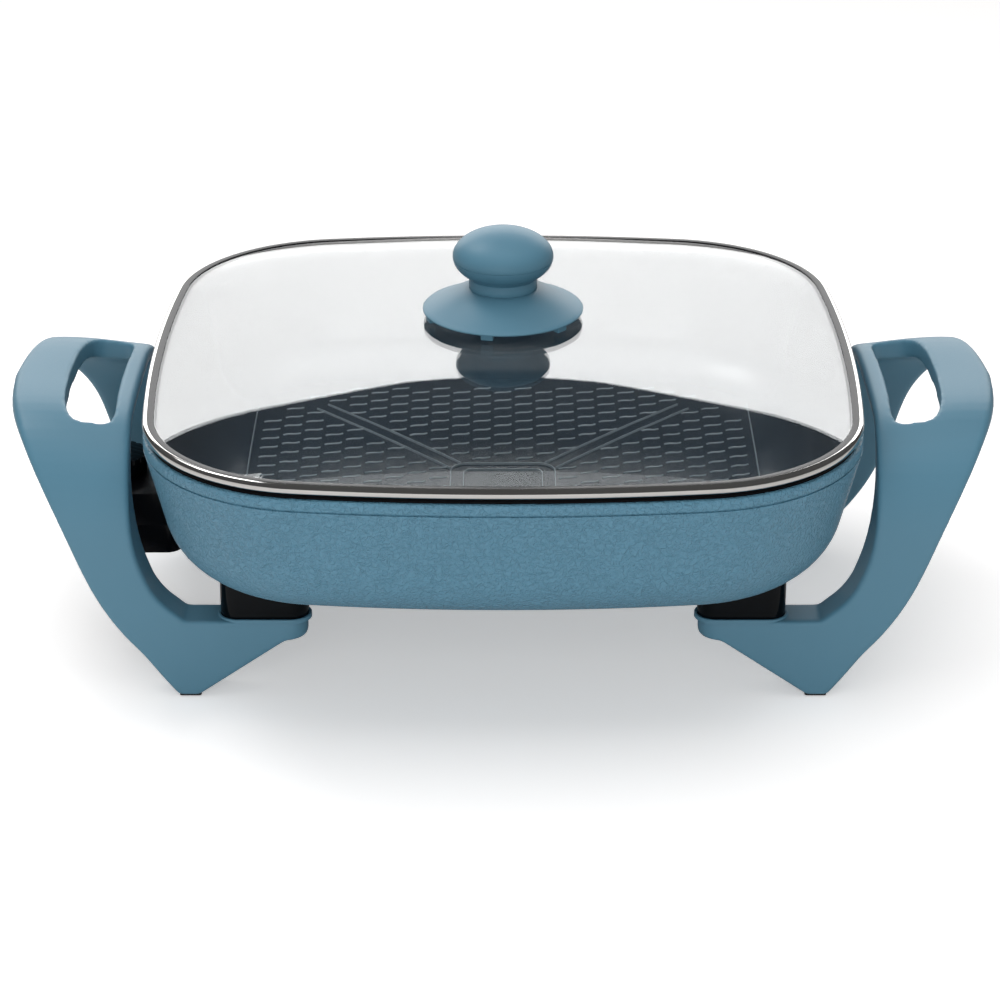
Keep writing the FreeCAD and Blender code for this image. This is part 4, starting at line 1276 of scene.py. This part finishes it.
    def openings(self, hand: int) -> bpy.types.Object:
        """Return the closed forms of one handle's finger hole and its two screw wells.

        Args:
            hand: 1 for the right handle, -1 for the left.

        Returns:
            One object with all the forms.
        """
        washer_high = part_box("handle_washers")[1]
        ream = washer_high[0] - self.post_place[0] + self.washer_clear
        shapes = [([self.hole_plan(hand, z) for z in self.hole_reach], False)]
        for end in (-1, 1):
            centre = (hand * self.post_place[0], end * self.post_place[1])
            shapes.append(([rounded_plan(centre, (ream, ream), ream * 0.999, z)
                            for z in (-self.well_start, washer_high[2])], False))
        return tidy(piece("handle_openings", *gathered(shapes), []), 60)

    def rims(self, hand: int) -> bpy.types.Object:
        """Return the thin raised rims that stand round one handle's two standoffs.

        Args:
            hand: 1 for the right handle, -1 for the left.

        Returns:
            One object with both rims.
        """
        edges = ((0.05, -1.2), (1.25, -1.2), (1.25, 0.55), (1.05, 0.8), (0.25, 0.8), (0.05, 0.6))
        shapes = []
        for end in (-1, 1):
            centre = (hand * self.post_place[0], end * self.post_place[1])
            rings = []
            for grow, lift in edges:
                half = (self.post_half[0] + grow * MM, self.post_half[1] + grow * MM)
                rings.append(rounded_plan(centre, half, half[1] * 0.999, self.tab_top + lift * MM, 10))
            shapes.append((rings, True))
        name = "post_rims_right" if hand > 0 else "post_rims_left"
        return tidy(piece(name, *gathered(shapes), [self.palette.blue]), 40)

    def make(self) -> None:
        """Build both handles and the four standoffs and seat them on the skillet's body."""
        for side, hand in (("left", -1), ("right", 1)):
            node = f"handle_{side}"
            item = moulded(self.form(hand), self.openings(hand), self.voxel_mm, self.passes, self.keep)
            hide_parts(node)
            for part in (item, self.rims(hand)):
                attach(part, Body.SKILLET.value)
                LOG.info("handle piece %s, %d faces", part.name, len(part.data.polygons))
            for end in ("front", "rear"):
                node = f"standoff_{end}_{side}"
                post = eased(self.frame, node, self.palette.gloss, 0.6)
                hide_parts(node)
                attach(post, Body.SKILLET.value)


@dataclass
class HeatControl:
    """Plug-in control: two satin shells, a dial and what they hold."""

    frame: dict
    palette: Palette
    edge_mm: float = 1.2

    def make(self) -> None:
        """Build the shells, the guard and the dial and seat each on its body."""
        jobs = (("controller_top_shell", Body.CONTROL, self.palette.satin, "black_plastic", self.edge_mm),
                ("controller_bottom_shell", Body.CONTROL, self.palette.satin, "black_plastic",
                 self.edge_mm * 0.5),
                ("plug_guard", Body.SKILLET, self.palette.satin, "black_plastic", 0.5),
                ("temperature_dial", Body.DIAL, self.palette.gloss, "gloss_black", 0.3))
        for node, body, material, slot, width in jobs:
            item = eased(self.frame, node, material, width)
            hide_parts(node)
            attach(item, body.value)
            LOG.info("control piece %s, %d faces", item.name, len(item.data.polygons))


def dress_nodes(frame: dict, palette: Palette) -> None:
    """Give the CAD nodes that stay in view their finishes.

    Args:
        frame: The loaded frame.
        palette: The finishes.
    """
    by_slot = {
        "pan_coating": palette.enamel, "element_sheath": palette.sheath, "terminal_metal": palette.zinc,
        "ceramic": palette.ceramic, "black_plastic": palette.satin, "gloss_black": palette.gloss,
        "blue_plastic": palette.blue, "white_plastic": palette.white, "rubber": palette.rubber,
        "screw_steel": palette.zinc, "stainless": palette.steel, "glass": palette.glass,
        "red_lens": palette.red,
    }
    for entry in frame["record"]["subparts"]:
        item = frame["nodes"][entry["node"]]
        for slot in item.material_slots:
            slot.material = by_slot[entry["material_slot"]]


@dataclass(frozen=True)
class SoftLamp:
    """A square soft lamp: side in metres, watts, place, turn in radians, and whether mirrors show it."""

    name: str
    size: float
    watts: float
    place: tuple[float, float, float]
    turn: tuple[float, float, float]
    mirrored: bool

    def add(self) -> None:
        """Add the lamp to the scene."""
        data = bpy.data.lights.new(self.name, "AREA")
        data.size = self.size
        data.energy = self.watts
        item = link(bpy.data.objects.new(self.name, data))
        item.location = self.place
        item.rotation_euler = self.turn
        item.visible_glossy = self.mirrored


@dataclass
class Studio:
    """White sweep, soft lamps and the photograph's camera."""

    eye: tuple[float, float, float] = (-0.00134, -1.3128, 0.6434)
    pitch: float = math.radians(90 - 24.005)
    lens: float = 113.8
    lamps: tuple[SoftLamp, ...] = (
        SoftLamp("top_softbox", 1.6, 12.0, (0, -0.1, 1.5), (0, 0, 0), False),
        SoftLamp("side_softbox", 0.5, 3.5, (-0.62, 0.45, 1.15),
                 (math.radians(-21), math.radians(-28), 0), True),
        SoftLamp("front_softbox", 1.2, 11.0, (-0.15, -1.6, 0.5), (math.radians(75.4), 0, -0.094), False))
    sky: float = 0.40
    mirror_sky: float = 0.07
    card_place: float = 2.4
    card_top: float = 1.60
    card_wide: float = 3.4
    card_climb: tuple[float, float] = (0.375, 1.56)
    card_glow: tuple[float, float] = (1.8, 3.8)
    pan_depth: float = 3.5
    spot_half: float = 0.32
    spot_fade: tuple[float, float] = (0.8, 0.12)
    spot_climb: tuple[float, float] = (1.12, 1.22)
    spot_glow: tuple[float, float] = (0.02, 1.7)
    floor_wide: float = 6.0
    floor_drop: float = 0.4 * MM
    floor_glow: float = 0.36
    floor_color: tuple[float, float, float] = (0.94, 0.92, 0.91)

    def stage(self) -> None:
        """Build the floor, the card that polished pieces mirror, the lamps and the world."""
        floor = self.plane("floor", self.floor_wide, Vector((0, 0, -self.floor_drop)), 0.0)
        floor.data.materials.append(self.floor_finish())
        card = self.plane("reflector_card", self.card_wide,
                          Vector((0, self.card_place, self.card_top - self.card_wide / 2)), math.pi / 2)
        card.data.materials.append(self.card_finish())
        card.visible_camera = False
        card.visible_diffuse = False
        card.visible_shadow = False
        for lamp in self.lamps:
            lamp.add()
        world = bpy.data.worlds.new("studio")
        bpy.context.scene.world = world
        world.use_nodes = True
        wiring = Wiring(world.node_tree)
        mirrored = wiring.calc("MINIMUM", wiring.add("ShaderNodeLightPath").outputs["Glossy Depth"], 1.0)
        dim = wiring.add("ShaderNodeMix", {"A": self.sky, "B": self.mirror_sky, "Factor": mirrored})
        mix = wiring.add("ShaderNodeMix", {"A": dim.outputs["Result"], "B": 1.0,
                                           "Factor": self.seen_straight(wiring)})
        wiring.feed(world.node_tree.nodes["Background"], {"Color": (1, 1, 1, 1),
                                                          "Strength": mix.outputs["Result"]})

    @staticmethod
    def seen_straight(wiring: Wiring) -> bpy.types.NodeSocket:
        """Return a mask of the rays that left the camera and met no mirror on their way.

        Args:
            wiring: Wiring of the material or world that gets the nodes.

        Returns:
            The mask's socket.
        """
        path = wiring.add("ShaderNodeLightPath").outputs
        either = wiring.calc("MAXIMUM", path["Is Camera Ray"], path["Is Transmission Ray"])
        return wiring.calc("MULTIPLY", either, wiring.calc("LESS_THAN", path["Glossy Depth"], 0.5))

    @staticmethod
    def plane(name: str, size: float, centre: Vector, tilt: float) -> bpy.types.Object:
        """Return a square plane with its place in its mesh.

        Args:
            name: The plane's name.
            size: Its side.
            centre: Its middle.
            tilt: Its turn about X in radians.

        Returns:
            The plane.
        """
        half = size / 2
        spin = Matrix.Rotation(tilt, 3, "X")
        corners = [spin @ Vector(p) + centre for p in ((-half, -half, 0), (half, -half, 0),
                                                      (half, half, 0), (-half, half, 0))]
        return piece(name, corners, [[0, 1, 2, 3]], [])

    def floor_finish(self) -> bpy.types.Material:
        """Return a white floor that keeps the object's shadow."""
        material, wiring, shader = Wiring.material("white_sweep")
        glow = wiring.calc("MULTIPLY", self.seen_straight(wiring), self.floor_glow)
        wiring.feed(shader, {"Base Color": (*self.floor_color, 1), "Roughness": 0.9,
                             "Specular IOR Level": 0.0, "Emission Color": (1, 1, 1, 1),
                             "Emission Strength": glow})
        return material

    def card_finish(self) -> bpy.types.Material:
        """Return the glow of the card that only mirror rays see, stronger towards its top.

        Rays that reach it from under the glass see only its bright middle, so the pan's floor stays dark.
        """
        material, wiring, shader = Wiring.material("reflector_glow")
        place = wiring.add("ShaderNodeSeparateXYZ",
                           {0: wiring.add("ShaderNodeTexCoord").outputs["Object"]}).outputs
        climb = wiring.mapped(place["Z"], self.card_climb, self.card_glow)
        depth = wiring.add("ShaderNodeLightPath").outputs["Transmission Depth"]
        from_pan = wiring.calc("GREATER_THAN", depth, self.pan_depth)
        aside = wiring.mapped(wiring.calc("ABSOLUTE", place["X"]), (0.0, self.spot_half), self.spot_fade)
        front = wiring.mapped(place["Z"], self.spot_climb, self.spot_glow)
        share = wiring.add("ShaderNodeMix", {"A": 1.0, "B": wiring.calc("MULTIPLY", aside, front),
                                             "Factor": from_pan})
        power = wiring.calc("MULTIPLY", climb, share.outputs["Result"])
        wiring.feed(shader, {"Base Color": (0, 0, 0, 1), "Specular IOR Level": 0.0,
                             "Emission Color": (1, 1, 1, 1), "Emission Strength": power})
        return material

    def camera(self) -> None:
        """Add the camera at the photograph's place."""
        data = bpy.data.cameras.new("camera")
        data.lens = self.lens
        data.sensor_width = 36
        data.clip_start = 0.01
        item = link(bpy.data.objects.new("camera", data))
        item.location = self.eye
        item.rotation_euler = (self.pitch, 0, 0)
        bpy.context.scene.camera = item


def main() -> None:
    """Build the skillet around its frame."""
    logging.basicConfig(level=logging.INFO, format="%(name)s: %(message)s")
    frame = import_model()
    bpy.context.scene.view_settings.view_transform = "Standard"
    studio = Studio()
    studio.camera()
    studio.stage()
    palette = Palette.mixed()
    dress_nodes(frame, palette)
    for part in (Pan(palette), Lid(palette), Handles(frame, palette), HeatControl(frame, palette)):
        part.make()


if __name__ == "__main__":
    main()
